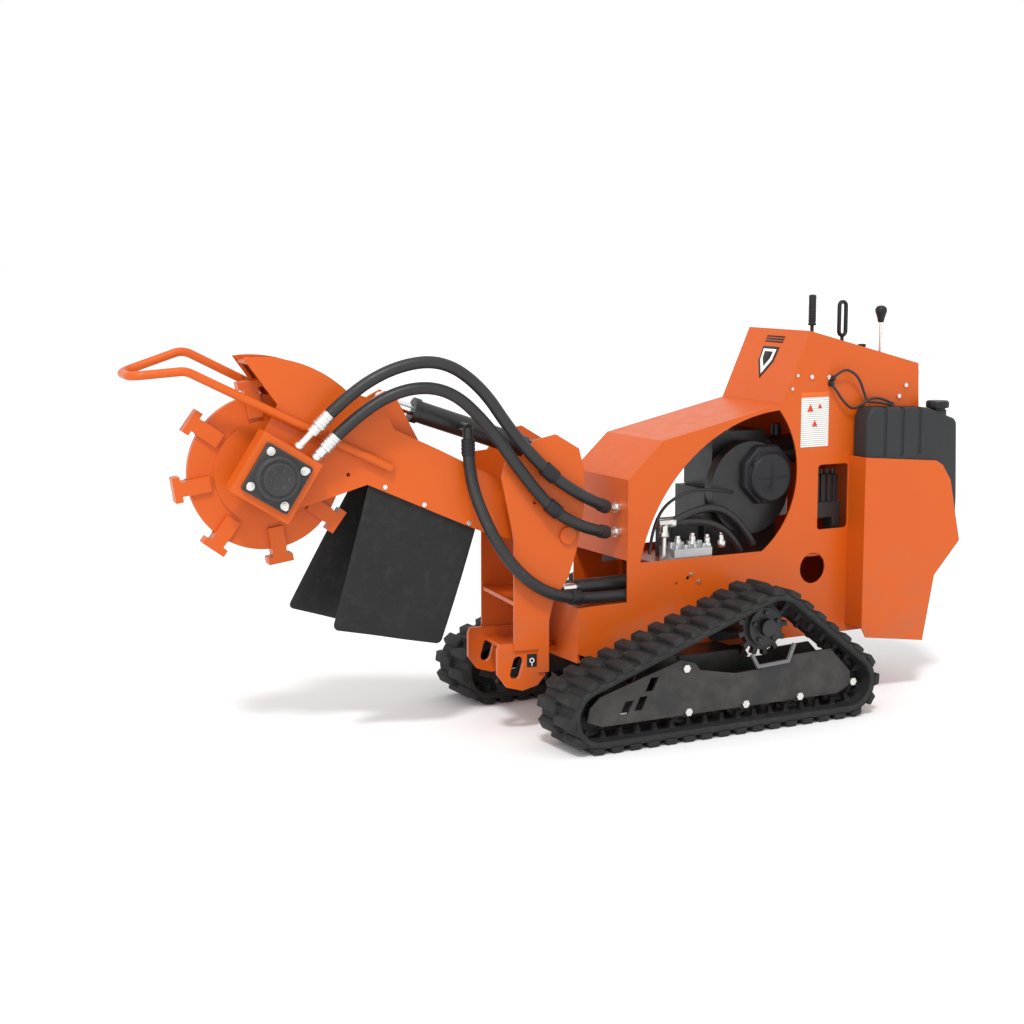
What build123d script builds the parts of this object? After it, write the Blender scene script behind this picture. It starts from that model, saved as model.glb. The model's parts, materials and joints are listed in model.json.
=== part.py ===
"""Tracked pedestrian stump grinder.

Frame: +Z up, the cutter end towards -Y, the machine's left side towards +X.
The origin is on the ground, in the middle of the tracks' footprint.
"""
from build123d import *
import os
from math import atan2, cos, degrees, hypot, radians, sin, tan

os.makedirs("parts", exist_ok=True)

# ---------------------------------------------------------------- driving dimensions (mm)
running_gap = 0.05          # radial clearance of a shaft in its hole
soft_gap = 0.5              # clearance round rubber and hoses
play = 2.0                  # clearance between parts that move past each other

# body shell
body_half = 165.0           # centre plane to the outer face of a side panel
panel = 5.0                 # side panel thickness
sheet = 4.0                 # hood, console and guard sheet
nose_y = -378.0             # front wall of the chassis tub
hood_y = -203.0             # front face of the hood
body_rear_y = 930.0
floor_z = 209.0             # underside of the chassis tub
deck_z = 381.0              # top of the front deck
hood_low_z = 512.0          # lower edge of the hood's front face
hood_top_z = 763.0
brow = (-78.0, 876.0)       # (y, z) where the hood bends
saddle = (370.0, 972.0)     # (y, z) where the hood meets the console
console_front = (475.0, 1201.0)
console_rear = (924.0, 1085.0)
engine_deck_z = 478.0
lens_sill_z = 502.0         # lower edge of the lens-shaped opening
window_size = (122.0, 212.0)
window_at = (581.0, 662.0)
port_r = 50.0               # round opening over the track
port_at = (505.0, 431.0)

# tracks
belt_width = 205.0
belt_mid_x = 342.5          # centre plane of the left track
idler_run = 456.0           # each end idler's distance from the middle
idler_outer = 112.0         # ground to idler axle
sprocket_at = (175.0, 306.0)
sprocket_outer = 132.0      # outside of the lugs round the sprocket
belt_base = 20.0            # thickness of the belt without lugs
lug_height = 18.0
guide_height = 22.0
pitch_count = 40
wheel_half = 20.0           # half width of idlers and rollers
plate = 8.0                 # track frame plates
plate_gap = 52.0            # belt centre to the inner face of a track frame plate
roller_r = 45.0
roller_ys = (-135.0, 74.0, 279.0)
axle_r = 11.0
sprocket_teeth = 13
spigot_r = 25.0             # travel motor spigot that the sprocket turns on

# mast and boom, in the boom's own upright plane
swing_y = -420.0            # swing axis
swing_rest = 8.0            # degrees towards the machine's right
mast_half = 150.0           # outer faces of the mast plates
mast_plate = 8.0
hinge_pin_r = 20.0
ear_thick = 16.0
hinge_top_z = deck_z + ear_thick    # top of the chassis' upper hinge ear
hinge_low_z = 242.0
boom_half = 84.0            # outer faces of the boom plates
boom_plate = 8.0
pivot_at = (31.0, 606.0)    # lift pivot (rearward, up)
pivot_r = 18.0
base_pin_at = (-20.0, 852.0)
rod_pin_at = (-498.0, 1018.0)
cylinder_pin_r = 14.0
wheel_at = (-860.0, 820.0)
disc_r = 226.0
disc_thick = 26.0
shaft_r = 24.0              # cutter shaft
tooth_tip_r = 270.0
tooth_count = 8
guard_r = 328.0
motor_s = 160.0             # lateral place of the motor's mounting face
tube_r = 13.0               # hoop tube
hose_r = 18.0               # hydraulic hoses
swing_ear_s = 88.0          # swing cylinder ear's distance from the swing axis
swing_cyl_z = 430.0
swing_base_y = -60.0
mat_thick = 8.0
gland_y = -151.0            # bulkhead that the tank hose ends on


# ---------------------------------------------------------------- helpers
def write(builder, label):
    """Names a finished piece and writes it."""
    builder.part.label = label
    export_step(builder.part, f"parts/{label}.step")


def write_both(builder, name):
    """Writes the left-hand piece and its mirror image as one group."""
    with BuildPart() as both:
        add(builder.part)
        mirror(builder.part, about=Plane.YZ)
    write(both, name)


def write_pair(builder, name):
    """Writes the left-hand piece and its mirror image."""
    write(builder, f"{name}_left")
    with BuildPart() as right:
        mirror(builder.part, about=Plane.YZ)
    write(right, f"{name}_right")


def block(x_span, y_span, z_span, mode=Mode.ADD):
    """A box between two corners, joined to the part being built."""
    middle = [(span[0] + span[1]) / 2 for span in (x_span, y_span, z_span)]
    sizes = [abs(span[1] - span[0]) for span in (x_span, y_span, z_span)]
    with Locations(tuple(middle)):
        Box(*sizes, mode=mode)


def folded(path, thickness):
    """The closed outline of a sheet folded along path, thickened to its left."""
    inner = []
    for i, (x, y) in enumerate(path):
        normals = []
        for j in (i - 1, i):
            if 0 <= j < len(path) - 1:
                run = (path[j + 1][0] - path[j][0], path[j + 1][1] - path[j][1])
                normals.append((-run[1] / hypot(*run), run[0] / hypot(*run)))
        first, last = normals[0], normals[-1]
        share = thickness / (1 + first[0] * last[0] + first[1] * last[1])
        inner.append((x + share * (first[0] + last[0]), y + share * (first[1] + last[1])))
    return list(path) + inner[::-1]


def outline(points, mode=Mode.ADD):
    """A filled polygon in the sketch being built."""
    Polygon(*points, align=None, mode=mode)


def boom_plane(s):
    """Upright plane along the boom, s to the machine's left; x runs rearward."""
    turn = radians(swing_rest)
    return Plane(
        origin=(s * cos(turn), swing_y - s * sin(turn), 0),
        x_dir=(sin(turn), cos(turn), 0),
        z_dir=(cos(turn), -sin(turn), 0),
    )


def mast_plane(z):
    """Level plane at height z with its origin on the swing axis and y rearward."""
    turn = radians(swing_rest)
    return Plane(origin=(0, swing_y, z), x_dir=(cos(turn), -sin(turn), 0), z_dir=(0, 0, 1))


def boom_point(rear, z, s):
    """World point of a boom coordinate."""
    return boom_plane(s).from_local_coords((rear, z, 0))


def cross_rod(at, radius, s_from, s_to, mode=Mode.ADD):
    """A round bar, or a bore, across the boom or mast of the part being built."""
    with BuildSketch(boom_plane(s_from)) as end:
        with Locations(at):
            Circle(radius)
    extrude(end.sketch, amount=s_to - s_from, mode=mode)


def tube_along(points, radii, radius, bore=0.0):
    """A tube along straight runs joined by arcs."""
    with BuildPart() as tube:
        with BuildLine() as route:
            FilletPolyline(*points, radius=radii)
        with BuildSketch(Plane(origin=route.line @ 0, z_dir=route.line % 0)):
            Circle(radius)
            if bore:
                Circle(bore, mode=Mode.SUBTRACT)
        sweep()
    return tube


def bend_radii(points):
    """The largest arcs that the runs on both sides of each point allow."""
    radii = []
    for before, here, after in zip(points, points[1:], points[2:]):
        one = Vector(*here) - Vector(*before)
        two = Vector(*after) - Vector(*here)
        turn = radians(one.get_angle(two))
        radii.append(0.45 * min(one.length, two.length) / tan(turn / 2))
    return radii


# ---------------------------------------------------------------- body shell
inner_half = body_half - panel


inner_half = body_half - panel


def roof_z(y):
    """Height of the console's top face at y."""
    fall = (console_rear[1] - console_front[1]) / (console_rear[0] - console_front[0])
    return console_front[1] + fall * (y - console_front[0])


def side_panel():
    """One side plate with its lens-shaped opening, valve window and round port."""
    with BuildPart() as side:
        with BuildSketch(Plane.YZ.offset(inner_half)):
            outline([
                (nose_y, floor_z + 28), (nose_y, deck_z), (hood_y, deck_z), (hood_y, hood_top_z),
                brow, saddle, console_front, console_rear, (body_rear_y, 945),
                (body_rear_y, 300), (800, floor_z), (nose_y + 80, floor_z),
            ])
            apex = (saddle[0] - 8, saddle[1] - 20)
            with BuildLine():
                lower_left = (hood_y + 46, lens_sill_z)
                lower_right = (304, lens_sill_z)
                ThreePointArc(lower_left, (8, 797), apex)
                ThreePointArc(apex, (436, 745), lower_right)
                Line(lower_right, lower_left)
            make_face(mode=Mode.SUBTRACT)
            with Locations(window_at):
                RectangleRounded(*window_size, 12, mode=Mode.SUBTRACT)
            with Locations(port_at):
                Circle(port_r, mode=Mode.SUBTRACT)
            with Locations((-23, 425), (20, 440)):
                Circle(6, mode=Mode.SUBTRACT)
        extrude(amount=panel)
    return side


def hood():
    """Folded hood: front face, sloping brow and long top."""
    path = [(hood_y, hood_low_z), (hood_y, hood_top_z), brow, saddle]
    with BuildPart() as cover:
        with BuildSketch(Plane.YZ.offset(-inner_half)):
            outline(folded(path, -sheet))
        extrude(amount=2 * inner_half)
    return cover


def console_shell():
    """Folded console box with lever slots and an open rear."""
    path = [saddle, console_front, console_rear, (body_rear_y, 945)]
    with BuildPart() as cover:
        with BuildSketch(Plane.YZ.offset(-inner_half)):
            outline(folded(path, -sheet))
        extrude(amount=2 * inner_half)
        for x, y, length in lever_slots():
            with Locations((x, y, roof_z(y))):
                Box(16, length, 60, mode=Mode.SUBTRACT)
        with Locations((*knob_at, roof_z(knob_at[1]))):
            Cylinder(knob_stem_r + running_gap, 40, mode=Mode.SUBTRACT)
    return cover


def lever_slots():
    """(x, y, slot length) of each lever."""
    return [(60, 562, 120), (60, 686, 96), (60, 847, 110)]


def swing_ear_x():
    """The swing cylinder runs straight back from the mast's ear at this x."""
    return swing_ear_s * cos(radians(swing_rest))


def swing_ear_y():
    return swing_y - swing_ear_s * sin(radians(swing_rest))


def chassis_frame():
    """Welded tub: floor, nose wall, decks, firewall, rear wall and hinge ears."""
    wide = (-inner_half, inner_half)
    thick = 8
    with BuildPart() as tub:
        block(wide, (nose_y, 800), (floor_z, floor_z + thick))
        block(wide, (nose_y, nose_y + thick), (floor_z + thick, deck_z))
        block(wide, (nose_y, hood_y + 60), (deck_z - thick, deck_z))
        block((112, inner_half), (gland_y, gland_y + thick), (deck_z, deck_z + 58))
        block(wide, (hood_y + 12, hood_y + 20), (floor_z + thick, deck_z - thick))
        block(wide, (-40, 640), (engine_deck_z - thick, engine_deck_z))
        for x in (-inner_half, inner_half - 30):
            block((x, x + 30), (-40, 640), (floor_z + thick, floor_z + 60))
            for y in (-40, 600):
                block((x, x + 30), (y, y + 40), (floor_z + thick, engine_deck_z - thick))
        block(wide, (800 - thick, 800), (floor_z + thick, 900))
        for low in (hinge_top_z - ear_thick, hinge_low_z - ear_thick):
            with BuildSketch(Plane.XY.offset(low)):
                with Locations((0, swing_y)):
                    Circle(38)
                with Locations((0, (swing_y + nose_y + thick) / 2)):
                    Rectangle(76, nose_y + thick - swing_y)
                if low >= deck_z:
                    with Locations((0, (nose_y + hood_y) / 2)):
                        Rectangle(76, hood_y - nose_y)
                with Locations((0, swing_y)):
                    Circle(hinge_pin_r + running_gap, mode=Mode.SUBTRACT)
            extrude(amount=16)
        block((swing_ear_s - 26, swing_ear_s + 26), (swing_base_y - 34, -40),
              (swing_cyl_z - 26 - 12, swing_cyl_z - 26))
        block((swing_ear_s - 26, swing_ear_s + 26), (-40, -28), (swing_cyl_z - 38, engine_deck_z - thick))
    return tub


# ---------------------------------------------------------------- tracks
def loop_sketch(inset):
    """The track's loop round its two idlers and its sprocket, inset from the lug tips."""
    with BuildSketch() as loop:
        with Locations((-idler_run, idler_outer), (idler_run, idler_outer)):
            Circle(idler_outer - inset)
        with Locations(sprocket_at):
            Circle(sprocket_outer - inset)
        make_hull()
    return loop.sketch


def lug_row(wire, x_span, length, height, phase, mode=Mode.ADD):
    """A row of rubber blocks standing on the belt, one to each pitch."""
    with BuildSketch(Plane.YZ.offset(x_span[0])) as row:
        for i in range(pitch_count):
            t = ((i + phase) / pitch_count) % 1
            spot = wire.position_at(t)
            along = wire.tangent_at(t)
            with Locations(Location((spot.X, spot.Y), degrees(atan2(along.Y, along.X)))):
                Rectangle(length, height)
    extrude(row.sketch, amount=x_span[1] - x_span[0], mode=mode)


def track_belt():
    """Rubber belt with two staggered rows of tread blocks and two rows of guide lugs."""
    low_x = belt_mid_x - belt_width / 2
    high_x = belt_mid_x + belt_width / 2
    outer = loop_sketch(lug_height)
    inner = loop_sketch(lug_height + belt_base)
    tread_line = loop_sketch(lug_height / 2 + 1).wire()
    guide_line = loop_sketch(lug_height + belt_base + guide_height / 2 - 1).wire()
    pitch = tread_line.length / pitch_count
    with BuildPart() as belt:
        with BuildSketch(Plane.YZ.offset(low_x)):
            add(outer)
            add(inner, mode=Mode.SUBTRACT)
        extrude(amount=belt_width)
        lug_row(tread_line, (belt_mid_x - 6, high_x), pitch * 0.62, lug_height + 2, 0)
        lug_row(tread_line, (low_x, belt_mid_x + 6), pitch * 0.62, lug_height + 2, 0.5)
        for x in (belt_mid_x - wheel_half - 4 - 14, belt_mid_x + wheel_half + 4):
            lug_row(guide_line, (x, x + 14), pitch * 0.4, guide_height, 0.25)
        with Locations((belt_mid_x, 0, -10)):
            Box(belt_width + 20, 4 * idler_run, 20, mode=Mode.SUBTRACT)
    return belt


def wheel(at, radius, bore):
    """A rimmed wheel on its axle; the web is thinner than the rim."""
    with BuildPart() as body:
        with BuildSketch(Plane.YZ.offset(belt_mid_x - wheel_half)):
            with Locations(at):
                Circle(radius)
                Circle(bore + running_gap, mode=Mode.SUBTRACT)
        extrude(amount=2 * wheel_half)
        for x in (belt_mid_x - wheel_half, belt_mid_x + wheel_half - 8):
            with BuildSketch(Plane.YZ.offset(x)):
                with Locations(at):
                    Circle(radius - 10)
                    Circle(bore + 10, mode=Mode.SUBTRACT)
            extrude(amount=8, mode=Mode.SUBTRACT)
        for x in (belt_mid_x - plate_gap + 1, belt_mid_x + wheel_half):
            with BuildSketch(Plane.YZ.offset(x)):
                with Locations(at):
                    Circle(bore + 8)
                    Circle(bore + running_gap, mode=Mode.SUBTRACT)
            extrude(amount=plate_gap - wheel_half - 1)
    return body


def belt_inner_z():
    """Height of the belt's inner face on the ground run."""
    return lug_height + belt_base


def idler_radius():
    return idler_outer - lug_height - belt_base - soft_gap


def sprocket_radius():
    return sprocket_outer - lug_height - belt_base - soft_gap


def sprocket():
    """Toothed drive ring bolted to the travel motor's hub."""
    tip = sprocket_radius()
    root = tip - 20
    with BuildPart() as ring:
        with BuildSketch(Plane.YZ.offset(belt_mid_x - 10)):
            with Locations(sprocket_at):
                Circle(root)
                with PolarLocations(root, sprocket_teeth):
                    Rectangle(36, 16)
            with Locations(sprocket_at):
                Circle(tip, mode=Mode.INTERSECT)
        extrude(amount=20)
        with BuildSketch(Plane.YZ.offset(belt_mid_x + 10)):
            with Locations(sprocket_at):
                Circle(60)
        extrude(amount=14)
        with BuildSketch(Plane.YZ.offset(belt_mid_x + 24)):
            with Locations(sprocket_at):
                Circle(27)
        extrude(amount=22)
        with BuildSketch(Plane.YZ.offset(belt_mid_x + 24)):
            with Locations(sprocket_at):
                with PolarLocations(45, 5, start_angle=20):
                    RegularPolygon(8, 6)
        extrude(amount=7)
        with BuildSketch(Plane.YZ.offset(belt_mid_x - 10)):
            with Locations(sprocket_at):
                Circle(spigot_r + running_gap)
        extrude(amount=13, mode=Mode.SUBTRACT)
    return ring


def track_frame():
    """Two side plates, the axles of idlers and rollers, and the beam to the chassis."""
    profile = [
        (-idler_run - 30, 92), (-idler_run - 20, 134), (-441, 164), (-160, 244), (-110, 230),
        (-90, 206), (39, 182), (132, 185), (150, 196), (225, 196), (250, 216), (400, 222),
        (idler_run + 24, 140), (idler_run + 26, 98), (430, 74), (-433, 73),
    ]
    slots = [(-350, 120), (-300, 128), (-262, 182)]
    with BuildPart() as frame:
        for x in (belt_mid_x - plate_gap - plate, belt_mid_x + plate_gap):
            with BuildSketch(Plane.YZ.offset(x)):
                outline(profile)
                for y, z in slots:
                    half = 24
                    outline([(y - half, z - 20), (y + 4, z - 20), (y + half, z + 20), (y - 4, z + 20)],
                            Mode.SUBTRACT)
            extrude(amount=plate)
        spots = [(-idler_run, idler_outer), (idler_run, idler_outer)]
        spots += [(y, belt_inner_z() + soft_gap + roller_r) for y in roller_ys]
        with BuildSketch(Plane.YZ.offset(belt_mid_x - plate_gap)):
            with Locations(*spots):
                Circle(axle_r)
        extrude(amount=2 * plate_gap)
        beam_low = floor_z
        block((body_half, belt_mid_x - plate_gap - plate), (-60, 130), (beam_low, beam_low + 18))
        block((belt_mid_x - plate_gap - plate, belt_mid_x - plate_gap), (-90, 130), (180, beam_low + 18))
    return frame


def travel_motor():
    """Hydraulic travel motor: a flange on the side panel and a round housing."""
    with BuildPart() as motor:
        with BuildSketch(Plane.YZ.offset(body_half)):
            with Locations(sprocket_at):
                RectangleRounded(150, 150, 20)
        extrude(amount=14)
        with BuildSketch(Plane.YZ.offset(body_half + 14)):
            with Locations(sprocket_at):
                Circle(52)
        extrude(amount=belt_mid_x - 10 - play - body_half - 14)
        with BuildSketch(Plane.YZ.offset(belt_mid_x - 10 - play)):
            with Locations(sprocket_at):
                Circle(spigot_r)
        extrude(amount=14)
    return motor


def sprocket_guard():
    """Bent guard strap under the sprocket, on the outer track frame plate."""
    y = sprocket_at[0]
    x = belt_mid_x + plate_gap + plate
    with BuildPart() as guard:
        with BuildSketch(Plane.YZ.offset(x)):
            outline(folded([(y - 84, 232), (y - 60, 190), (y + 60, 196), (y + 84, 252)], 10))
        extrude(amount=10)
    return guard


# ---------------------------------------------------------------- tank and its guard
tank_in = body_half + 3
tank_out = 246.0
guard_low_z = 232.0
cap_low_z = 938.0


def tank_guard():
    """Orange guard: a front strip off the side panel, an outer plate and a tank shelf."""
    with BuildPart() as guard:
        with BuildSketch(Plane.YZ.offset(tank_out)):
            outline([(645, 793), (940, 768), (968, 752), (1004, 700), (1050, 494), (946, 384),
                     (903, 167), (664, 200), (645, guard_low_z)])
        extrude(amount=sheet)
        block((body_half, tank_out), (645, 645 + sheet), (guard_low_z, 793))
        block((body_half, tank_out), (650, 890), (290, 296))
    return guard


def fuel_tank():
    """Moulded tank with ribs and a filler neck on its sloping shoulder."""
    with BuildPart() as tank:
        with BuildSketch(Plane.YZ.offset(tank_in)):
            outline([(654, 296), (654, 915), (672, 955), (905, 945), (1030, 900), (1040, 640),
                     (1038, 500), (935, 395), (885, 296)])
        extrude(amount=tank_out - 2 - tank_in)
        fillet(tank.edges().filter_by(Axis.X), 10)
        for y in (730, 800, 870):
            with Locations(((tank_in + tank_out) / 2, y, 960)):
                Box(tank_out - tank_in + 10, 10, 16, mode=Mode.SUBTRACT)
        with Locations(cap_at(cap_low_z - 20)):
            Cylinder(26, 40)
    return tank


def cap_at(z):
    return ((tank_in + tank_out) / 2, 975, z)


def fuel_cap():
    """Fluted screw cap over the filler neck."""
    with BuildPart() as cap:
        with BuildSketch(Plane.XY.offset(cap_low_z)):
            with Locations(cap_at(0)[:2]):
                Circle(38)
                with PolarLocations(38, 12):
                    Circle(4, mode=Mode.SUBTRACT)
        extrude(amount=24)
        chamfer(cap.faces().sort_by(Axis.Z)[-1].edges(), 1.5)
    return cap


def hydraulic_tank():
    """Steel oil tank on the machine's right with its breather cap."""
    with BuildPart() as tank:
        block((-tank_out, -body_half), (660, 940), (300, 820))
        fillet(tank.edges().filter_by(Axis.Z), 14)
        with Locations((-205, 820, 826)):
            Cylinder(30, 30)
    return tank


# ---------------------------------------------------------------- engine bay
def engine():
    """Crankcase, cylinder head and fan housing on the engine deck."""
    with BuildPart() as block_part:
        block((-110, 60), (150, 430), (engine_deck_z, 700))
        block((-120, 40), (190, 400), (700, 880))
        with BuildSketch(Plane.YZ.offset(60)):
            with Locations((300, 700)):
                Circle(150)
        extrude(amount=40)
        fillet(block_part.edges().filter_by(Axis.X).sort_by(Axis.Z)[-2:], 12)
        for z in range(720, 880, 20):
            block((-124, -116), (200, 390), (z, z + 8), Mode.SUBTRACT)
    return block_part


def air_cleaner():
    """Round air cleaner with a domed cover in front of the fan housing."""
    with BuildPart() as cleaner:
        with BuildSketch(Plane.YZ.offset(100)):
            with Locations((354, 742)):
                RegularPolygon(104, 8)
        extrude(amount=22)
        with BuildSketch(Plane.YZ.offset(122)):
            with Locations((354, 735)):
                Circle(80)
        extrude(amount=24)
        chamfer(cleaner.faces().sort_by(Axis.X)[-1].edges(), 8)
        for turn in (0, 90):
            with BuildSketch(Plane.YZ.offset(142)):
                with Locations((354, 735)):
                    Rectangle(120, 4, rotation=turn, mode=Mode.ADD)
            extrude(amount=5)
    return cleaner


def muffler():
    """Round silencer behind the engine."""
    with BuildPart() as can:
        with BuildSketch(Plane.XZ.offset(-440)):
            with Locations((-40, 800)):
                Ellipse(70, 50)
        extrude(amount=-130)
        with Locations((-40, 500, 860)):
            Cylinder(18, 50)
        block((-50, -30), (400, 446), (790, 810))
    return can


def pump():
    """Hydraulic pump on the front of the engine."""
    with BuildPart() as unit:
        block((-60, 40), (40, 146), (engine_deck_z, 600))
        with Locations(Location((-10, 146, 545), (90, 0, 0))):
            Cylinder(38, 8)
        fillet(unit.edges().filter_by(Axis.Z), 6)
    return unit


def manifold():
    """Alloy valve manifold with ports on the front of the engine deck."""
    with BuildPart() as unit:
        block((60, 150), (-20, 120), (engine_deck_z, 530))
        for y in (0, 34, 68, 102):
            with Locations((100, y, 538)):
                Cylinder(11, 16)
            with Locations((130, y, 535)):
                Cylinder(8, 10)
    return unit


def valve_bank():
    """Control valve bank behind the side window."""
    with BuildPart() as bank:
        block((90, 140), (530, 632), (590, 640))
        for y in (545, 570, 595, 618):
            block((100, 130), (y - 9, y + 9), (640, 730))
            with Locations((115, y, 740)):
                Cylinder(6, 20)
        block((90, 140), (600, 632), (engine_deck_z, 590))
    return bank


# ---------------------------------------------------------------- console controls
lever_shaft_r = 8.0
knob_stem_r = 5.0
knob_at = (60, 770)


def grip_lever(x, y):
    """Straight lever with a long rubber grip."""
    top = roof_z(y)
    with BuildPart() as lever:
        lever_boss(x, y)
        with Locations((x, y, (top - 40 + top + 46) / 2)):
            Cylinder(6, 86)
        with Locations((x, y, top + 84)):
            Cylinder(13, 100)
        fillet(lever.edges().sort_by(Axis.Z)[-1], 6)
    return lever


def lever_boss(x, y):
    """The lever's hub on the cross shaft under the console roof."""
    with Locations(Location((x, y, roof_z(y) - 50), (0, 90, 0))):
        Cylinder(16, 14)
        Cylinder(lever_shaft_r + running_gap, 20, mode=Mode.SUBTRACT)


def loop_lever(x, y):
    """Flat loop-shaped lever."""
    top = roof_z(y)
    with BuildPart() as lever:
        lever_boss(x, y)
        with Locations((x, y, top - 5)):
            Cylinder(6, 70)
        with BuildSketch(Plane.YZ.offset(x - 8)):
            with Locations((y, top + 86)):
                SlotOverall(124, 40, rotation=90)
                SlotOverall(98, 14, rotation=90, mode=Mode.SUBTRACT)
        extrude(amount=16)
    return lever


def knob_lever(x, y):
    """Plated lever with a ball knob."""
    top = roof_z(y)
    with BuildPart() as lever:
        lever_boss(x, y)
        with Locations((x, y, top + 40)):
            Cylinder(6, 160)
        with Locations((x, y, top + 128)):
            Cone(10, 19, 30)
        with Locations((x, y, top + 148)):
            Sphere(20)
    return lever


def lever_shafts():
    """Cross shafts that carry the levers, held in the two side panels."""
    with BuildPart() as shafts:
        for _, y, _ in lever_slots():
            z = roof_z(y) - 50
            with Locations(Location((0, y, z), (0, 90, 0))):
                Cylinder(lever_shaft_r, 2 * inner_half)
    return shafts


def throttle_knob(x, y):
    """Push-pull knob on the console roof."""
    with BuildPart() as knob:
        with Locations((x, y, roof_z(y) + 3)):
            Cylinder(knob_stem_r, 40)
        with Locations((x, y, roof_z(y) + 18)):
            Cylinder(12, 10)
    return knob


def knee_pad():
    """Rubber-faced pad on the console's rear."""
    with BuildPart() as pad:
        with BuildSketch(Plane.XZ.offset(-body_rear_y)):
            with Locations((0, 1010)):
                RectangleRounded(270, 120, 16)
        extrude(amount=-22)
    return pad


# ---------------------------------------------------------------- mast
def swing_mast():
    """Swinging mast: two tall plates, hinge shelves, swing ear and tie-down plates."""
    profile = [
        (-60, 190), (-60, 262), (-140, 262), (-140, 600), (-181, 789), (-165, 838), (-120, 842),
        (-76, 898), (-6, 913), (68, 868), (85, 801), (85, 690), (62, 560), (35, 477), (-14, 403), (-27, 350), (-27, 190),
    ]
    inner = mast_half - mast_plate
    with BuildPart() as mast:
        for s in (-mast_half, inner):
            with BuildSketch(boom_plane(s)):
                outline(profile)
                with Locations((-73, 711)):
                    Circle(7, mode=Mode.SUBTRACT)
            extrude(amount=mast_plate)
        for low in (hinge_top_z + 1, hinge_low_z + 1):
            with BuildSketch(mast_plane(low)):
                with Locations((0, -81)):
                    Rectangle(2 * inner, 110)
                Circle(38)
                with Locations((0, -16)):
                    Rectangle(76, 32)
                Circle(hinge_pin_r + running_gap, mode=Mode.SUBTRACT)
            extrude(amount=12)
        with BuildSketch(mast_plane(swing_cyl_z - 6)):
            with Locations(((swing_ear_s + inner) / 2, -19)):
                Rectangle(inner - swing_ear_s, 54)
            with Locations((swing_ear_s, 0)):
                Circle(26)
                Circle(18, mode=Mode.SUBTRACT)
        extrude(amount=12)
        for s in (-mast_half + mast_plate, inner - 16):
            with BuildSketch(boom_plane(s)):
                outline([(-182, 283), (-36, 283), (-36, 180), (-60, 150), (-110, 136), (-160, 150),
                         (-190, 190), (-190, 268)])
                with Locations((-128, 208)):
                    SlotOverall(72, 34, rotation=75, mode=Mode.SUBTRACT)
            extrude(amount=16)
        cross_rod(base_pin_at, cylinder_pin_r, -inner, -30)
        cross_rod(base_pin_at, cylinder_pin_r, 30, inner)
        cross_rod(base_pin_at, cylinder_pin_r - 3, -30, 30)
        for s in (-mast_half - 10, mast_half):
            cross_rod(pivot_at, pivot_r + 8, s, s + 10)
        cross_rod(pivot_at, pivot_r, -inner, inner)
    return mast


def hinge_pin():
    """Vertical hinge pin with its head, through all four hinge plates."""
    with BuildPart() as pin:
        with BuildSketch(Plane.XY.offset(hinge_low_z - 24)):
            with Locations((0, swing_y)):
                Circle(hinge_pin_r)
        extrude(amount=hinge_top_z + 13 - hinge_low_z + 24)
        with BuildSketch(Plane.XY.offset(hinge_top_z + 13)):
            with Locations((0, swing_y)):
                RegularPolygon(30, 6)
        extrude(amount=12)
    return pin


# ---------------------------------------------------------------- boom
def boom_arm():
    """Box-section boom with the wheel's side plates and the lift cylinder's ears."""
    boss = pivot_r + 24
    beam = [
        (pivot_at[0] + 8, pivot_at[1] + boss - 2), (-172, 782), (-351, 873), (-489, 938), (-560, 975),
        (-573, 779), (-476, 736), (-352, 680), (-227, 625), (-121, 590),
        (pivot_at[0] + 8, pivot_at[1] - boss + 2),
    ]
    inner = boom_half - boom_plate
    with BuildPart() as arm:
        for s in (-boom_half, inner):
            with BuildSketch(boom_plane(s)):
                outline(beam)
                with Locations(pivot_at):
                    Circle(boss)
                tip = guard_point(guard_r + 14, 102)
                back = guard_point(guard_r, 46)
                with BuildLine():
                    ThreePointArc(tip, guard_point(guard_r + 3, 74), back)
                    Polyline(back, (-531, 1020), (-489, 938), (-520, 800), (-573, 779), (-723, 734),
                             (-850, 700), (-960, 790), (-836, 1021), tip)
                make_face()
                with Locations(wheel_at):
                    Circle(60, mode=Mode.SUBTRACT)
                with Locations((-630, 811)):
                    Circle(6, mode=Mode.SUBTRACT)
            extrude(amount=boom_plate)
        with BuildSketch(boom_plane(-inner)):
            outline(folded([(-20, 652), (-172, 782), (-351, 873), (-520, 953)], boom_plate))
            outline(folded([(-40, 606), (-121, 628), (-227, 663), (-352, 718), (-476, 774), (-515, 791)],
                           -boom_plate))
        extrude(amount=2 * inner)
        with BuildSketch(boom_plane(-inner)):
            with Locations(pivot_at):
                Circle(boss)
        extrude(amount=2 * inner)
        with BuildSketch(boom_plane(-boom_half)):
            with Locations(pivot_at):
                Circle(pivot_r + running_gap)
        extrude(amount=2 * boom_half, mode=Mode.SUBTRACT)
        with BuildSketch(boom_plane(boom_half)):
            with Locations(wheel_at):
                Rectangle(196, 196, rotation=-32)
                Rectangle(172, 172, rotation=-32, mode=Mode.SUBTRACT)
        extrude(amount=motor_s - boom_half - 8)
        with BuildSketch(boom_plane(motor_s - 8)):
            with Locations(wheel_at):
                Rectangle(196, 196, rotation=-32)
                Circle(50, mode=Mode.SUBTRACT)
        extrude(amount=8)
        for s in (-36, 24):
            with BuildSketch(boom_plane(s)):
                outline([(-400, 897), (-470, 1030), (-500, 1048), (-531, 1032), (-572, 1006), (-546, 955)])
            extrude(amount=12)
    return arm


def guard_point(radius, angle):
    """Point on a circle about the cutter's axle; the angle rises from rearward."""
    return (wheel_at[0] + radius * cos(radians(angle)), wheel_at[1] + radius * sin(radians(angle)))


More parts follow.
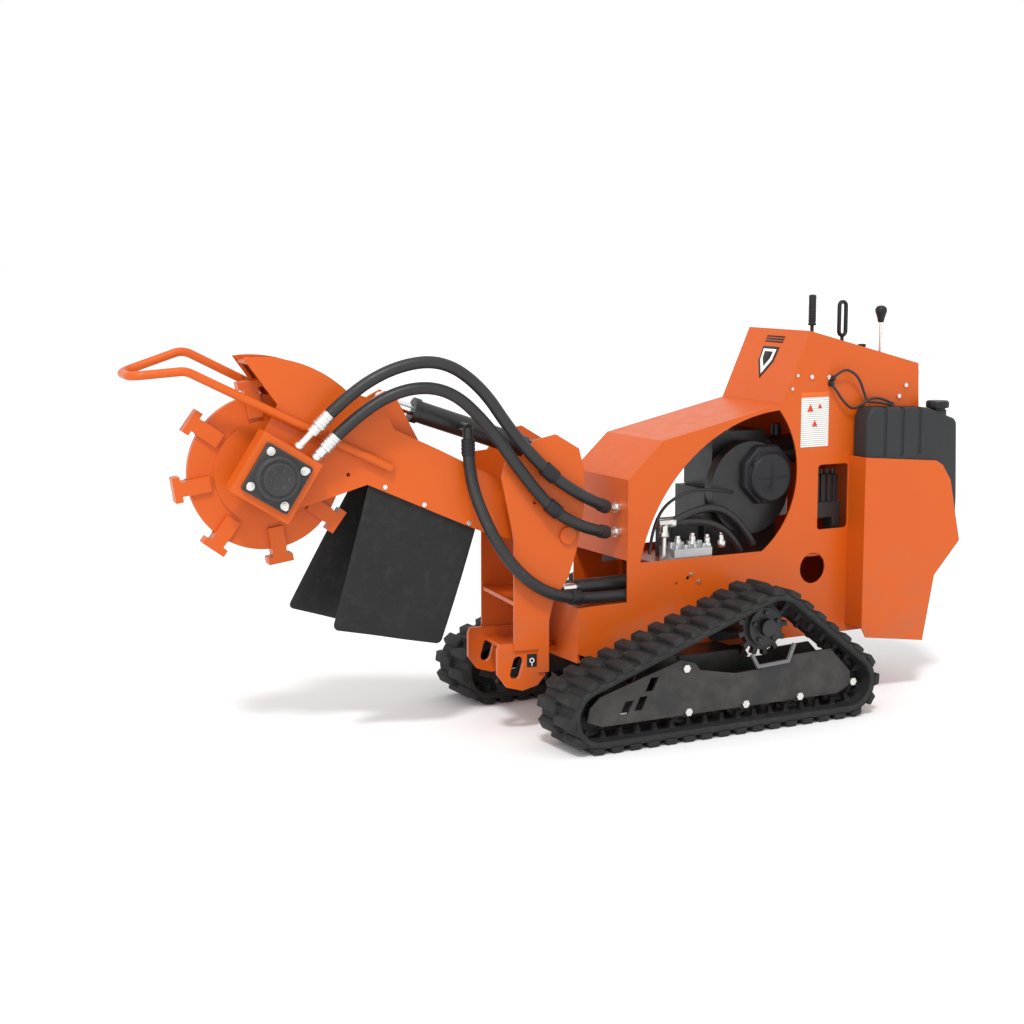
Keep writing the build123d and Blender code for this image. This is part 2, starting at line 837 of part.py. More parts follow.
def wheel_guard():
    """Curved band over the cutter, between the boom's side plates, with two front flanges."""
    half = boom_half - boom_plate
    wide = guard_r + 200
    with BuildPart() as guard:
        with BuildSketch(boom_plane(-half)):
            with Locations(wheel_at):
                Circle(guard_r)
                Circle(guard_r - 8, mode=Mode.SUBTRACT)
            outline([wheel_at, guard_point(wide, 100), guard_point(wide, 45), guard_point(wide, -5)],
                    Mode.INTERSECT)
        extrude(amount=2 * half)
        for s in (-half, half - 16):
            with BuildSketch(boom_plane(s)):
                outline(folded([guard_point(guard_r + 12, 101), (-838, 1024)], 6))
            extrude(amount=16)
    return guard


def cutter_motor():
    """Hydraulic cutter motor: square flange, round body and end cap."""
    with BuildPart() as motor:
        with BuildSketch(boom_plane(motor_s)):
            with Locations(wheel_at):
                RectangleRounded(154, 154, 8, rotation=-32)
        extrude(amount=14)
        with BuildSketch(boom_plane(motor_s + 14)):
            with Locations(wheel_at):
                Circle(62)
        extrude(amount=20)
        with BuildSketch(boom_plane(motor_s + 34)):
            with Locations(wheel_at):
                Circle(46)
        extrude(amount=6)
        cross_rod(wheel_at, 48, boom_half + 4, motor_s)
        cross_rod(wheel_at, shaft_r + running_gap, boom_half + 4, boom_half + 30, Mode.SUBTRACT)
    return motor


def cutter_disc():
    """Thick cutter disc with its hub and stub shafts."""
    half = disc_thick / 2
    with BuildPart() as disc:
        cross_rod(wheel_at, disc_r, -half, half)
        with BuildSketch(boom_plane(half)):
            with Locations(wheel_at):
                Circle(150)
        extrude(amount=8)
        cross_rod(wheel_at, 70, half + 8, 46)
        cross_rod(wheel_at, 70, -46, -half)
        cross_rod(wheel_at, shaft_r, 46, boom_half + 28)
    return disc


def cutter_teeth():
    """Eight cutter teeth: each clamps the disc's rim between two cheeks."""
    half = disc_thick / 2
    cheek = 12
    with BuildPart() as teeth:
        with BuildSketch(boom_plane(half)):
            tooth_pattern(46, 66, 162)
        extrude(amount=cheek)
        with BuildSketch(boom_plane(-half - cheek)):
            tooth_pattern(46, 66, 162)
        extrude(amount=cheek)
        with BuildSketch(boom_plane(-half - cheek)):
            tooth_pattern(42, tooth_tip_r - 22 - disc_r, disc_r + 0.2)
            tooth_pattern(74, 22, tooth_tip_r - 22)
        extrude(amount=2 * half + 2 * cheek)
    return teeth


def tooth_pattern(width, depth, from_r):
    """One rectangle to each tooth, from a radius outward."""
    with Locations(wheel_at):
        with PolarLocations(from_r + depth / 2, tooth_count, start_angle=9):
            Rectangle(depth, width)


def guard_hoop():
    """Bent tube bumper round the front of the cutter."""
    s_near, s_far = boom_half + tube_r, -boom_half - tube_r
    stations = [
        (-502, 825, s_near), (-1098, 1124, s_near), (-1252, 1112, s_near - 10),
        (-1252, 1112, s_far + 10), (-1070, 1172, s_far), (-600, 930, s_far),
    ]
    points = [tuple(boom_point(*station)) for station in stations]
    return tube_along(points, [60, 40, 40, 60], tube_r)


# ---------------------------------------------------------------- cylinders
def along_plane(start, end):
    """Plane at start whose normal points to end."""
    return Plane(origin=start, z_dir=Vector(*end) - Vector(*start))


def lift_barrel():
    """Lift cylinder barrel with its base eye and ports."""
    run = along_plane(boom_point(*base_pin_at, 0), boom_point(*rod_pin_at, 0))
    with BuildPart() as barrel:
        with BuildSketch(run.offset(34)):
            Circle(33)
        extrude(amount=360)
        with BuildSketch(run.offset(394)):
            Circle(38)
        extrude(amount=20)
        cross_rod(base_pin_at, 30, -24, 24)
        with BuildSketch(run.offset(10)):
            Rectangle(40, 40)
        extrude(amount=30)
        cross_rod((-270, 938), 12, 28, 112)
        with Locations(tuple(boom_point(-270, 922, 110))):
            Cylinder(16, 34)
        cross_rod(base_pin_at, cylinder_pin_r - 3 + running_gap, -24, 24, Mode.SUBTRACT)
        with BuildSketch(run.offset(180)):
            Circle(17.3)
        extrude(amount=300, mode=Mode.SUBTRACT)
    return barrel


def lift_rod():
    """Chromed rod with its end eye."""
    start = boom_point(*base_pin_at, 0)
    end = boom_point(*rod_pin_at, 0)
    run = along_plane(start, end)
    reach = (Vector(*end) - Vector(*start)).length
    with BuildPart() as rod:
        with BuildSketch(run.offset(200)):
            Circle(17)
        extrude(amount=reach - 200 - 14)
        cross_rod(rod_pin_at, 26, -20, 20)
    return rod


def swing_barrel():
    """Swing cylinder barrel with its base eye."""
    x, z = swing_ear_x(), swing_cyl_z
    with BuildPart() as barrel:
        with BuildSketch(Plane.XZ.offset(-swing_base_y + 30)):
            with Locations((x, z)):
                Circle(24)
                Circle(14.3, mode=Mode.SUBTRACT)
        extrude(amount=250)
        with BuildSketch(Plane.XZ.offset(-swing_base_y)):
            with Locations((x, z)):
                Circle(22)
        extrude(amount=30)
        with Locations((x, swing_base_y, z)):
            Cylinder(20, 36)
            Cylinder(10 + running_gap, 60, mode=Mode.SUBTRACT)
    return barrel


def swing_rod():
    """Swing cylinder rod with the fork that holds the mast's ear."""
    x, y, z = swing_ear_x(), swing_ear_y(), swing_cyl_z
    with BuildPart() as rod:
        with BuildSketch(Plane.XZ.offset(-swing_base_y + 120)):
            with Locations((x, z)):
                Circle(14)
        extrude(amount=-y - 34 + swing_base_y - 120)
        block((x - 15, x + 15), (y, y + 42), (z - 20, z + 20))
        with Locations((x, y, z)):
            Cylinder(15, 40)
        block((x - 30, x + 30), (y - 30, y + 32), (z - 6 - play, z + 6 + play), Mode.SUBTRACT)
        with Locations((x, y, z)):
            Cylinder(8, 40)
    return rod


# ---------------------------------------------------------------- hoses and their fittings
feed_route = [
    (36, -1167, 960), (66, -1083, 1052), (100, -951, 1130), (123, -811, 1145), (140, -692, 1062),
    (158, -604, 928), (172, -487, 800), (194, -400, 738), (176, -318, 700), (130, -262, 680),
]
return_route = [
    (39, -1148, 896), (68, -1062, 990), (104, -925, 1068), (128, -790, 1060), (144, -674, 952),
    (158, -576, 812), (174, -476, 690), (196, -394, 640), (176, -316, 616), (130, -262, 602),
]
drain_route = [
    (71, -703, 905), (71, -703, 800), (134, -676, 655), (160, -598, 520), (174, -500, 442),
    (163, -390, 412), (141, -280, 402), (141, gland_y, 402),
]
hose_routes = {"feed_hose": feed_route, "return_hose": return_route, "drain_hose": drain_route}


def hose(route):
    """One hydraulic hose along its route."""
    radii = bend_radii(route)
    print("bend radii", [round(radius) for radius in radii])
    return tube_along(route, radii, hose_r)


def ferrule(route, back=24.0):
    """A crimped ferrule that meets the first point of a route face to face."""
    run = along_plane(Vector(*route[0]), Vector(*route[1]))
    with BuildSketch(run) as end:
        Circle(hose_r - 1)
    extrude(end.sketch, amount=-back)


def motor_fittings():
    """Plated swivel fittings from the cutter motor to its two hoses."""
    with BuildPart() as fittings:
        for route, reach in ((feed_route, 83), (return_route, 41)):
            ferrule(route)
            run = along_plane(Vector(*route[0]), Vector(*route[1]))
            for start, length, radius in ((24, reach - 24, 11), (reach - 14, 12, 15)):
                with BuildSketch(run.offset(-start)) as end:
                    Circle(radius)
                extrude(end.sketch, amount=-length)
    return fittings


def hood_fittings():
    """Plated elbows on the hood's front face for the two cutter hoses."""
    with BuildPart() as fittings:
        for route in (feed_route, return_route):
            ferrule(route[::-1])
            run = along_plane(Vector(*route[-1]), Vector(*route[-2]))
            knee = run.offset(-24).origin
            with Locations(tuple(knee)):
                Sphere(15)
            for radius, low, high in ((11, knee.Y, hood_y), (17, hood_y - 16, hood_y)):
                with BuildSketch(Plane.XZ.offset(-low)) as end:
                    with Locations((knee.X, knee.Z)):
                        Circle(radius)
                extrude(end.sketch, amount=low - high)
    return fittings


# ---------------------------------------------------------------- chip mats
def chip_mat(s, points):
    """Rubber chip mat hung inside the boom's skirt."""
    with BuildPart() as mat:
        with BuildSketch(boom_plane(s)) as mat_sketch:
            outline(points)
            fillet(mat_sketch.vertices().sort_by(Axis.Y)[:2], 20)
        extrude(amount=mat_thick)
    return mat


# ---------------------------------------------------------------- fasteners
def bolt(plane, at, radius=10.0, height=8.0):
    """A hexagon bolt head on a plane."""
    with BuildSketch(plane) as head:
        with Locations(at):
            RegularPolygon(radius, 6)
    extrude(head.sketch, amount=height)


def body_bolts():
    """Bolt heads on the side panels and the track frames, both sides."""
    with BuildPart() as bolts:
        frame_face = Plane.YZ.offset(belt_mid_x + plate_gap + plate)
        for at in [(-144, 218), (486, 107)] + [(y, belt_inner_z() + soft_gap + roller_r) for y in roller_ys]:
            bolt(frame_face, at, 13, 10)
        for at in [(483, 1054), (552, 1051), (843, 979), (871, 1014)]:
            bolt(Plane.YZ.offset(body_half), at, 8, 5)
        for at in [(408, 1018), (428, 1060), (30, 452), (60, 425)]:
            bolt(Plane.YZ.offset(body_half), at, 6, 4)
        mirror(bolts.part, about=Plane.YZ)
    return bolts


def boom_bolts():
    """Bolts of the cutter motor and the chip mats."""
    with BuildPart() as bolts:
        with BuildSketch(boom_plane(motor_s + 14)) as heads:
            with Locations(Location(wheel_at, -32)):
                with GridLocations(122, 122, 2, 2):
                    RegularPolygon(9, 6)
        extrude(heads.sketch, amount=8)
        for at in [(-520, 770), (-400, 712), (-260, 650)]:
            bolt(boom_plane(boom_half), at, 8, 5)
    return bolts


# ---------------------------------------------------------------- build
write_pair(side_panel(), "side_panel")
write(hood(), "hood")
write(console_shell(), "console_shell")
write(chassis_frame(), "chassis_frame")
write_pair(track_belt(), "track_belt")
write_pair(wheel((-idler_run, idler_outer), idler_radius(), axle_r), "front_idler")
write_pair(wheel((idler_run, idler_outer), idler_radius(), axle_r), "rear_idler")
for place, roller_y in zip(("front", "middle", "rear"), roller_ys):
    roller_z = belt_inner_z() + soft_gap + roller_r
    write_pair(wheel((roller_y, roller_z), roller_r, axle_r), f"{place}_roller")
write_pair(sprocket(), "sprocket")
write_pair(track_frame(), "track_frame")
write_both(travel_motor(), "travel_motors")
write_both(sprocket_guard(), "sprocket_guards")
write(tank_guard(), "tank_guard")
write(fuel_tank(), "fuel_tank")
write(fuel_cap(), "fuel_cap")
write(hydraulic_tank(), "hydraulic_tank")
write(engine(), "engine")
write(air_cleaner(), "air_cleaner")
write(muffler(), "muffler")
write(pump(), "hydraulic_pump")
write(manifold(), "valve_manifold")
write(valve_bank(), "valve_bank")
slots = lever_slots()
write(grip_lever(*slots[0][:2]), "grip_lever")
write(loop_lever(*slots[1][:2]), "loop_lever")
write(knob_lever(*slots[2][:2]), "knob_lever")
write(throttle_knob(*knob_at), "throttle_knob")
write(lever_shafts(), "lever_shafts")
write(knee_pad(), "knee_pad")
write(swing_mast(), "swing_mast")
write(hinge_pin(), "hinge_pin")
write(boom_arm(), "boom_arm")
write(wheel_guard(), "wheel_guard")
write(cutter_motor(), "cutter_motor")
write(cutter_disc(), "cutter_disc")
write(cutter_teeth(), "cutter_teeth")
write(guard_hoop(), "guard_hoop")
write(lift_barrel(), "lift_barrel")
write(lift_rod(), "lift_rod")
write(swing_barrel(), "swing_barrel")
write(swing_rod(), "swing_rod")
for hose_name, route in hose_routes.items():
    write(hose(route), hose_name)
write(motor_fittings(), "motor_fittings")
write(hood_fittings(), "hood_fittings")
write(chip_mat(boom_half - boom_plate - mat_thick - soft_gap,
               [(-560, 790), (-231, 640), (-346, 284), (-680, 352)]), "near_chip_mat")
write(chip_mat(-boom_half + boom_plate + soft_gap,
               [(-560, 790), (-240, 645), (-470, 305), (-779, 400)]), "far_chip_mat")
write(body_bolts(), "body_bolts")
write(boom_bolts(), "boom_bolts")
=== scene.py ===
import json
from contextlib import contextmanager
from math import asin, atan2, cos, pi, radians, sin, tau

import bmesh
import bpy
from bpy.props import FloatProperty, FloatVectorProperty, IntProperty, PointerProperty
from mathutils import Matrix, Vector


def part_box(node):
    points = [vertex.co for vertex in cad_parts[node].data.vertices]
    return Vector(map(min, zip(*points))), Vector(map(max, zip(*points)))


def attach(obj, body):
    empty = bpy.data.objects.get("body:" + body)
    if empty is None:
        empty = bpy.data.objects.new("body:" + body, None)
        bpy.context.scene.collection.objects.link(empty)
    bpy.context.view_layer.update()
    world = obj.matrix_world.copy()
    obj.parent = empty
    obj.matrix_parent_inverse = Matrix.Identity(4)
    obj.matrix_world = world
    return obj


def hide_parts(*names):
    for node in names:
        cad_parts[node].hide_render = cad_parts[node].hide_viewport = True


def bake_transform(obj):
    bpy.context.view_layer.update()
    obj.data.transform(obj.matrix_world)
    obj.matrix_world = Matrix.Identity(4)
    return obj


bl_info = {
    "name": "Tracked stump grinder",
    "version": (1, 0, 0),
    "blender": (4, 5, 0),
    "location": "View3D > Sidebar > Stump Grinder",
    "description": "Builds the hoses, tracks, tank, mats and finishes of a tracked stump grinder",
    "category": "Object",
}

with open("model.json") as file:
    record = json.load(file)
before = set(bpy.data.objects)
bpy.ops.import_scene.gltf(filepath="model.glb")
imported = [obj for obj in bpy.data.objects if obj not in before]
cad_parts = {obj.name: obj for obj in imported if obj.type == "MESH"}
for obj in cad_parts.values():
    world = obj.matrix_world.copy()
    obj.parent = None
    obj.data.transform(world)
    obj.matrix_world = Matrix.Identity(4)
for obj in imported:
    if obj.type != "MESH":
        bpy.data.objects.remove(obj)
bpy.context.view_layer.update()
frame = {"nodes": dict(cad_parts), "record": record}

BOOM_SWING = radians(8.0)
SWING_AXIS_Y = -0.42
CUTTER_AXLE = (-0.860, 0.820)
TRACK_MIDDLE = 0.3425
BELT_WIDTH = 0.205
LUG_HEIGHT = 0.018
BELT_BASE = 0.020
TRACK_WHEELS = (((-0.456, 0.112), 0.112), ((0.456, 0.112), 0.112), ((0.175, 0.306), 0.132))
LEVER_X = 0.06
GRIP_LEVER_Y = 0.562
LOOP_LEVER_Y = 0.686
THROTTLE_Y = 0.770
KNOB_LEVER_Y = 0.847
CONSOLE_FRONT = (0.475, 1.201)
CONSOLE_REAR = (0.924, 1.085)
HOOD_SADDLE = (0.370, 0.972)


# ------------------------------------------------------------------ places
def boom_place(rear, up, side):
    """Matrix in the boom's upright plane: x rearward, y up, z out to the machine's left."""
    c, s = cos(BOOM_SWING), sin(BOOM_SWING)
    x = side * c + rear * s
    y = SWING_AXIS_Y - side * s + rear * c
    return Matrix(((s, 0, c, x), (c, 0, -s, y), (0, 1, 0, up), (0, 0, 0, 1)))


def side_place(y, up, x):
    """Matrix on the body's left side: x rearward, y up, z out to the machine's left."""
    return Matrix(((0, 0, 1, x), (1, 0, 0, y), (0, 1, 0, up), (0, 0, 0, 1)))


def aimed(start, towards):
    """Matrix at start with its z axis pointing to the second point."""
    start, towards = Vector(start), Vector(towards)
    turn = (towards - start).to_track_quat("Z", "Y").to_matrix().to_4x4()
    return Matrix.Translation(start) @ turn


def roof_height(y):
    """Height of the console roof at a place along the machine."""
    (front_y, front_z), (rear_y, rear_z) = CONSOLE_FRONT, CONSOLE_REAR
    return front_z + (rear_z - front_z) / (rear_y - front_y) * (y - front_y)


# ------------------------------------------------------------------ shaping
@contextmanager
def shaped(bm, place):
    """A mesh of its own to shape, which then joins the piece in its place."""
    own = bmesh.new()
    yield own
    bmesh.ops.transform(own, matrix=place, verts=own.verts)
    mesh = bpy.data.meshes.new("shape")
    own.to_mesh(mesh)
    own.free()
    bm.from_mesh(mesh)
    bpy.data.meshes.remove(mesh)


def raised(own, height):
    """Thickens the flat faces of a shape along z and returns its top vertices."""
    up = bmesh.ops.extrude_face_region(own, geom=own.faces[:])
    tops = [v for v in up["geom"] if isinstance(v, bmesh.types.BMVert)]
    bmesh.ops.translate(own, vec=(0, 0, height), verts=tops)
    return tops


def round_edges(bm, edges, width, segments=2):
    """Rounds the given edges."""
    bmesh.ops.bevel(
        bm, geom=edges, offset=width, segments=segments, profile=0.5, affect="EDGES",
        material=-1, clamp_overlap=True,
    )


def turned(bm, profile, place, steps=32):
    """A part turned on a lathe from (radius, height) pairs about the local z axis."""
    with shaped(bm, place) as own:
        line = [own.verts.new((radius, 0, height)) for radius, height in profile]
        edges = [own.edges.new(pair) for pair in zip(line, line[1:])]
        bmesh.ops.spin(
            own, geom=line + edges, cent=(0, 0, 0), axis=(0, 0, 1), angle=tau, steps=steps, use_merge=True
        )
        bmesh.ops.remove_doubles(own, verts=own.verts, dist=1e-6)


def hexagon(bm, radius, height, place, bevel=0.0008):
    """A hexagon nut or bolt head."""
    with shaped(bm, place) as own:
        bmesh.ops.create_circle(own, cap_ends=True, segments=6, radius=radius)
        raised(own, height)
        round_edges(own, own.edges[:], bevel, 1)


def block(bm, size, place, bevel=0.002, segments=2):
    """A block with rounded edges."""
    with shaped(bm, place) as own:
        bmesh.ops.create_cube(own, size=1, matrix=Matrix.Diagonal((*size, 1)))
        round_edges(own, own.edges[:], bevel, segments)


def plate(bm, corners, thickness, place, bevel=0.001, round_corners=0.0):
    """A flat plate of an outline, thickened along local z."""
    with shaped(bm, place) as own:
        own.faces.new([own.verts.new((x, y, 0)) for x, y in corners])
        raised(own, thickness)
        if round_corners:
            upright = [e for e in own.edges if abs(e.verts[0].co.z - e.verts[1].co.z) > thickness / 2]
            round_edges(own, upright, round_corners, 4)
        if bevel:
            rims = [e for e in own.edges if abs(e.verts[0].co.z - e.verts[1].co.z) < 1e-7]
            round_edges(own, rims, bevel, 2)


def dish(radius, height, wall=0.003):
    """Profile of a closed disc with a rounded rim."""
    return [
        (0, 0), (radius, 0), (radius, height - wall), (radius - wall * 0.3, height - wall * 0.3),
        (radius - wall, height), (0, height),
    ]


def finished(name, bm, material, body="", replaces=(), smooth=radians(38)):
    """Turns the mesh being made into a finished piece that rides on its body."""
    bmesh.ops.recalc_face_normals(bm, faces=bm.faces)
    for face in bm.faces:
        face.smooth = True
    for edge in bm.edges:
        edge.smooth = edge.is_manifold and edge.calc_face_angle(0) < smooth
    mesh = bpy.data.meshes.new(name)
    bm.to_mesh(mesh)
    bm.free()
    piece = bpy.data.objects.new(name, mesh)
    bpy.context.scene.collection.objects.link(piece)
    mesh.materials.append(material)
    if body:
        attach(piece, body)
    if replaces:
        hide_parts(*replaces)
    return piece


# ------------------------------------------------------------------ finishes
class Finish:
    """Node tree of one finish, with short calls for the nodes that finishes share."""

    def __init__(self, name):
        self.material = bpy.data.materials.new(name)
        self.material.use_nodes = True
        self.nodes = self.material.node_tree.nodes
        self.links = self.material.node_tree.links
        self.shader = self.nodes["Principled BSDF"]
        self.coords = self.nodes.new("ShaderNodeTexCoord").outputs["Object"]

    def noise(self, scale, detail=3.0, roughness=0.5, coords=None):
        """Soft noise."""
        node = self.nodes.new("ShaderNodeTexNoise")
        node.inputs["Scale"].default_value = scale
        node.inputs["Detail"].default_value = detail
        node.inputs["Roughness"].default_value = roughness
        self.links.new(coords or self.coords, node.inputs["Vector"])
        return node.outputs["Fac"]

    def cells(self, scale):
        """Distance to the middle of the nearest cell."""
        node = self.nodes.new("ShaderNodeTexVoronoi")
        node.inputs["Scale"].default_value = scale
        self.links.new(self.coords, node.inputs["Vector"])
        return node.outputs["Distance"]

    def spread(self, value, low, high, to_low=0.0, to_high=1.0):
        """A value stretched from one range to another."""
        node = self.nodes.new("ShaderNodeMapRange")
        node.inputs["From Min"].default_value = low
        node.inputs["From Max"].default_value = high
        node.inputs["To Min"].default_value = to_low
        node.inputs["To Max"].default_value = to_high
        self.links.new(value, node.inputs["Value"])
        return node.outputs["Result"]

    def times(self, a, b):
        """Product of two values."""
        node = self.nodes.new("ShaderNodeMath")
        node.operation = "MULTIPLY"
        for value, socket in zip((a, b), node.inputs):
            if isinstance(value, (int, float)):
                socket.default_value = value
            else:
                self.links.new(value, socket)
        return node.outputs[0]

    def blended(self, share, first, second):
        """A mix of two colours by a share."""
        node = self.nodes.new("ShaderNodeMix")
        node.data_type = "RGBA"
        for value, socket in ((first, node.inputs[6]), (second, node.inputs[7])):
            if isinstance(value, tuple):
                socket.default_value = (*value, 1.0)
            else:
                self.links.new(value, socket)
        self.links.new(share, node.inputs[0])
        return node.outputs[2]

    def height(self):
        """Height in the piece's own frame."""
        split = self.nodes.new("ShaderNodeSeparateXYZ")
        self.links.new(self.coords, split.inputs[0])
        return split.outputs["Z"]

    def soft_edges(self, radius):
        """Normal that is rounded at the edges."""
        node = self.nodes.new("ShaderNodeBevel")
        node.samples = 6
        node.inputs["Radius"].default_value = radius
        return node.outputs[0]

    def worn_edges(self, edges):
        """1 along the sharp edges and 0 on the flats."""
        geometry = self.nodes.new("ShaderNodeNewGeometry")
        dot = self.nodes.new("ShaderNodeVectorMath")
        dot.operation = "DOT_PRODUCT"
        self.links.new(edges, dot.inputs[0])
        self.links.new(geometry.outputs["Normal"], dot.inputs[1])
        return self.spread(dot.outputs["Value"], 0.99, 0.90)

    def relief(self, value, depth, normal=None, strength=1.0):
        """Fine relief on the surface."""
        node = self.nodes.new("ShaderNodeBump")
        node.inputs["Distance"].default_value = depth
        node.inputs["Strength"].default_value = strength
        self.links.new(value, node.inputs["Height"])
        if normal is not None:
            self.links.new(normal, node.inputs["Normal"])
        self.links.new(node.outputs[0], self.shader.inputs["Normal"])
        return node.outputs[0]

    def colour(self, value):
        """Sets the base colour."""
        self.links.new(value, self.shader.inputs["Base Color"])

    def roughness(self, value):
        """Sets the roughness."""
        self.links.new(value, self.shader.inputs["Roughness"])


def shade(colour, by):
    """A colour made darker or lighter."""
    return tuple(min(1.0, part * by) for part in colour)


def painted(name, colour, edge_colour, gloss, dust=0.5, edge_radius=0.0025, coat=0.0):
    """Powder-coated steel: fine orange peel, thin wear along edges, dust low down."""
    finish = Finish(name)
    base = finish.blended(finish.noise(2.3, 4), shade(colour, 0.93), shade(colour, 1.06))
    edges = finish.soft_edges(edge_radius)
    wear = finish.times(finish.worn_edges(edges), finish.spread(finish.noise(38, 5, 0.65), 0.5, 0.72))
    base = finish.blended(finish.times(wear, 0.55), base, edge_colour)
    low = finish.spread(finish.height(), 0.55, 0.05)
    grime = finish.times(low, finish.spread(finish.noise(11, 6, 0.62), 0.42, 0.8))
    base = finish.blended(finish.times(grime, dust), base, (0.16, 0.13, 0.10))
    finish.colour(base)
    finish.roughness(finish.spread(finish.noise(17, 5, 0.6), 0.3, 0.7, gloss, gloss + 0.14))
    finish.relief(finish.noise(520, 2), 0.00025, edges, 0.35)
    if coat:
        finish.shader.inputs["Specular IOR Level"].default_value = 0.3
        finish.shader.inputs["Coat Weight"].default_value = coat
        finish.shader.inputs["Coat Roughness"].default_value = 0.18
    return finish.material


def moulded(name, colour, gloss, grain=900.0, edge_radius=0.002):
    """Moulded plastic with a fine pebbled grain and scuffed edges."""
    finish = Finish(name)
    edges = finish.soft_edges(edge_radius)
    base = finish.blended(finish.noise(5, 4), shade(colour, 0.85), shade(colour, 1.2))
    base = finish.blended(finish.times(finish.worn_edges(edges), 0.35), base, shade(colour, 2.4))
    finish.colour(base)
    finish.roughness(finish.spread(finish.noise(24, 4), 0.3, 0.7, gloss, gloss + 0.16))
    finish.relief(finish.cells(grain), 0.00018, edges, 0.5)
    finish.shader.inputs["Specular IOR Level"].default_value = 0.25
    return finish.material


def rubber(name, colour, gloss, dusty=0.35, edge_radius=0.002):
    """Matt rubber with a mottled bloom and a little dry dust."""
    finish = Finish(name)
    edges = finish.soft_edges(edge_radius)
    base = finish.blended(finish.noise(7, 5, 0.6), shade(colour, 0.8), shade(colour, 1.25))
    dust = finish.times(finish.spread(finish.noise(26, 7, 0.7), 0.5, 0.78), dusty)
    base = finish.blended(dust, base, (0.17, 0.155, 0.135))
    base = finish.blended(finish.times(finish.worn_edges(edges), 0.4), base, shade(colour, 2.6))
    finish.colour(base)
    finish.roughness(finish.spread(finish.noise(40, 3), 0.3, 0.7, gloss, gloss + 0.12))
    finish.relief(finish.noise(260, 6, 0.7), 0.0004, edges, 0.45)
    finish.shader.inputs["Specular IOR Level"].default_value = 0.25
    return finish.material


def plated(name, colour, gloss, streak=True):
    """Plated or polished metal with faint machining marks."""
    finish = Finish(name)
    finish.shader.inputs["Metallic"].default_value = 1.0
    base = finish.blended(finish.noise(30, 4), shade(colour, 0.86), shade(colour, 1.05))
    finish.colour(base)
    finish.roughness(finish.spread(finish.noise(60, 4), 0.3, 0.7, gloss, gloss + 0.15))
    if streak:
        finish.relief(finish.noise(1400, 2), 0.0001, finish.soft_edges(0.001), 0.4)
    return finish.material


def cast(name, colour, gloss):
    """Painted sand casting with a coarse skin."""
    finish = Finish(name)
    edges = finish.soft_edges(0.003)
    base = finish.blended(finish.noise(9, 5), shade(colour, 0.8), shade(colour, 1.5))
    base = finish.blended(finish.times(finish.worn_edges(edges), 0.5), base, (0.14, 0.14, 0.145))
    finish.colour(base)
    finish.roughness(finish.spread(finish.noise(50, 4), 0.3, 0.7, gloss, gloss + 0.2))
    finish.relief(finish.noise(300, 6, 0.75), 0.0006, edges, 0.6)
    return finish.material


def wrapped_hose(name, colour):
    """Rubber hose cover with the cloth mark of its wrapping, along the hose's own length."""
    finish = Finish(name)
    run = finish.nodes.new("ShaderNodeUVMap").outputs["UV"]
    wave = finish.nodes.new("ShaderNodeTexWave")
    wave.inputs["Scale"].default_value = 95.0
    wave.inputs["Distortion"].default_value = 0.6
    wave.bands_direction = "DIAGONAL"
    finish.links.new(run, wave.inputs["Vector"])
    base = finish.blended(finish.noise(9, 4), shade(colour, 0.75), shade(colour, 1.5))
    scuff = finish.spread(finish.noise(22, 7, 0.72), 0.62, 0.8)
    finish.colour(finish.blended(finish.times(scuff, 0.3), base, (0.13, 0.125, 0.12)))
    finish.roughness(finish.spread(finish.noise(30, 4), 0.3, 0.7, 0.38, 0.56))
    finish.relief(wave.outputs["Fac"], 0.0003, None, 0.35)
    return finish.material


def printed(name, ground, ink, scale):
    """Printed film: a plain ground with generic bars and no lettering."""
    finish = Finish(name)
    bars = finish.nodes.new("ShaderNodeTexWave")
    bars.bands_direction = "Z"
    bars.inputs["Scale"].default_value = scale
    finish.links.new(finish.coords, bars.inputs["Vector"])
    finish.colour(finish.blended(finish.spread(bars.outputs["Fac"], 0.78, 0.86), ground, ink))
    finish.roughness(finish.spread(finish.noise(35, 3), 0.3, 0.7, 0.32, 0.45))
    return finish.material


def make_finishes(paint):
    """Every finish of the machine by the name of its slot."""
    orange = tuple(paint.orange)
    return {
        "orange_paint": painted(
            "Orange powder coat", orange, (0.8, 0.26, 0.07), paint.gloss, 0.45, 0.0022, 0.12),
        "black_paint": painted(
            "Black chassis paint", (0.013, 0.013, 0.014), (0.12, 0.12, 0.12), 0.34, 0.35),
        "grey_paint": painted("Grey guard paint", (0.13, 0.135, 0.14), (0.3, 0.3, 0.3), 0.36, 0.35),
        "track_rubber": rubber("Track rubber", (0.018, 0.0185, 0.019), 0.62, 0.14, 0.003),
        "mat_rubber": rubber("Chip mat rubber", (0.014, 0.0145, 0.015), 0.5, 0.1, 0.001),
        "hose_rubber": wrapped_hose("Hose cover", (0.012, 0.012, 0.013)),
        "tank_plastic": moulded("Tank plastic", (0.026, 0.027, 0.028), 0.42),
        "black_plastic": moulded("Black plastic", (0.016, 0.016, 0.018), 0.34),
        "zinc": plated("Zinc plate", (0.78, 0.77, 0.74), 0.24),
        "chrome": plated("Hard chrome", (0.86, 0.87, 0.88), 0.06, False),
        "alloy": plated("Machined alloy", (0.56, 0.57, 0.58), 0.32),
        "cast_black": cast("Black casting", (0.018, 0.018, 0.019), 0.5),
    }


FINISHES = {}


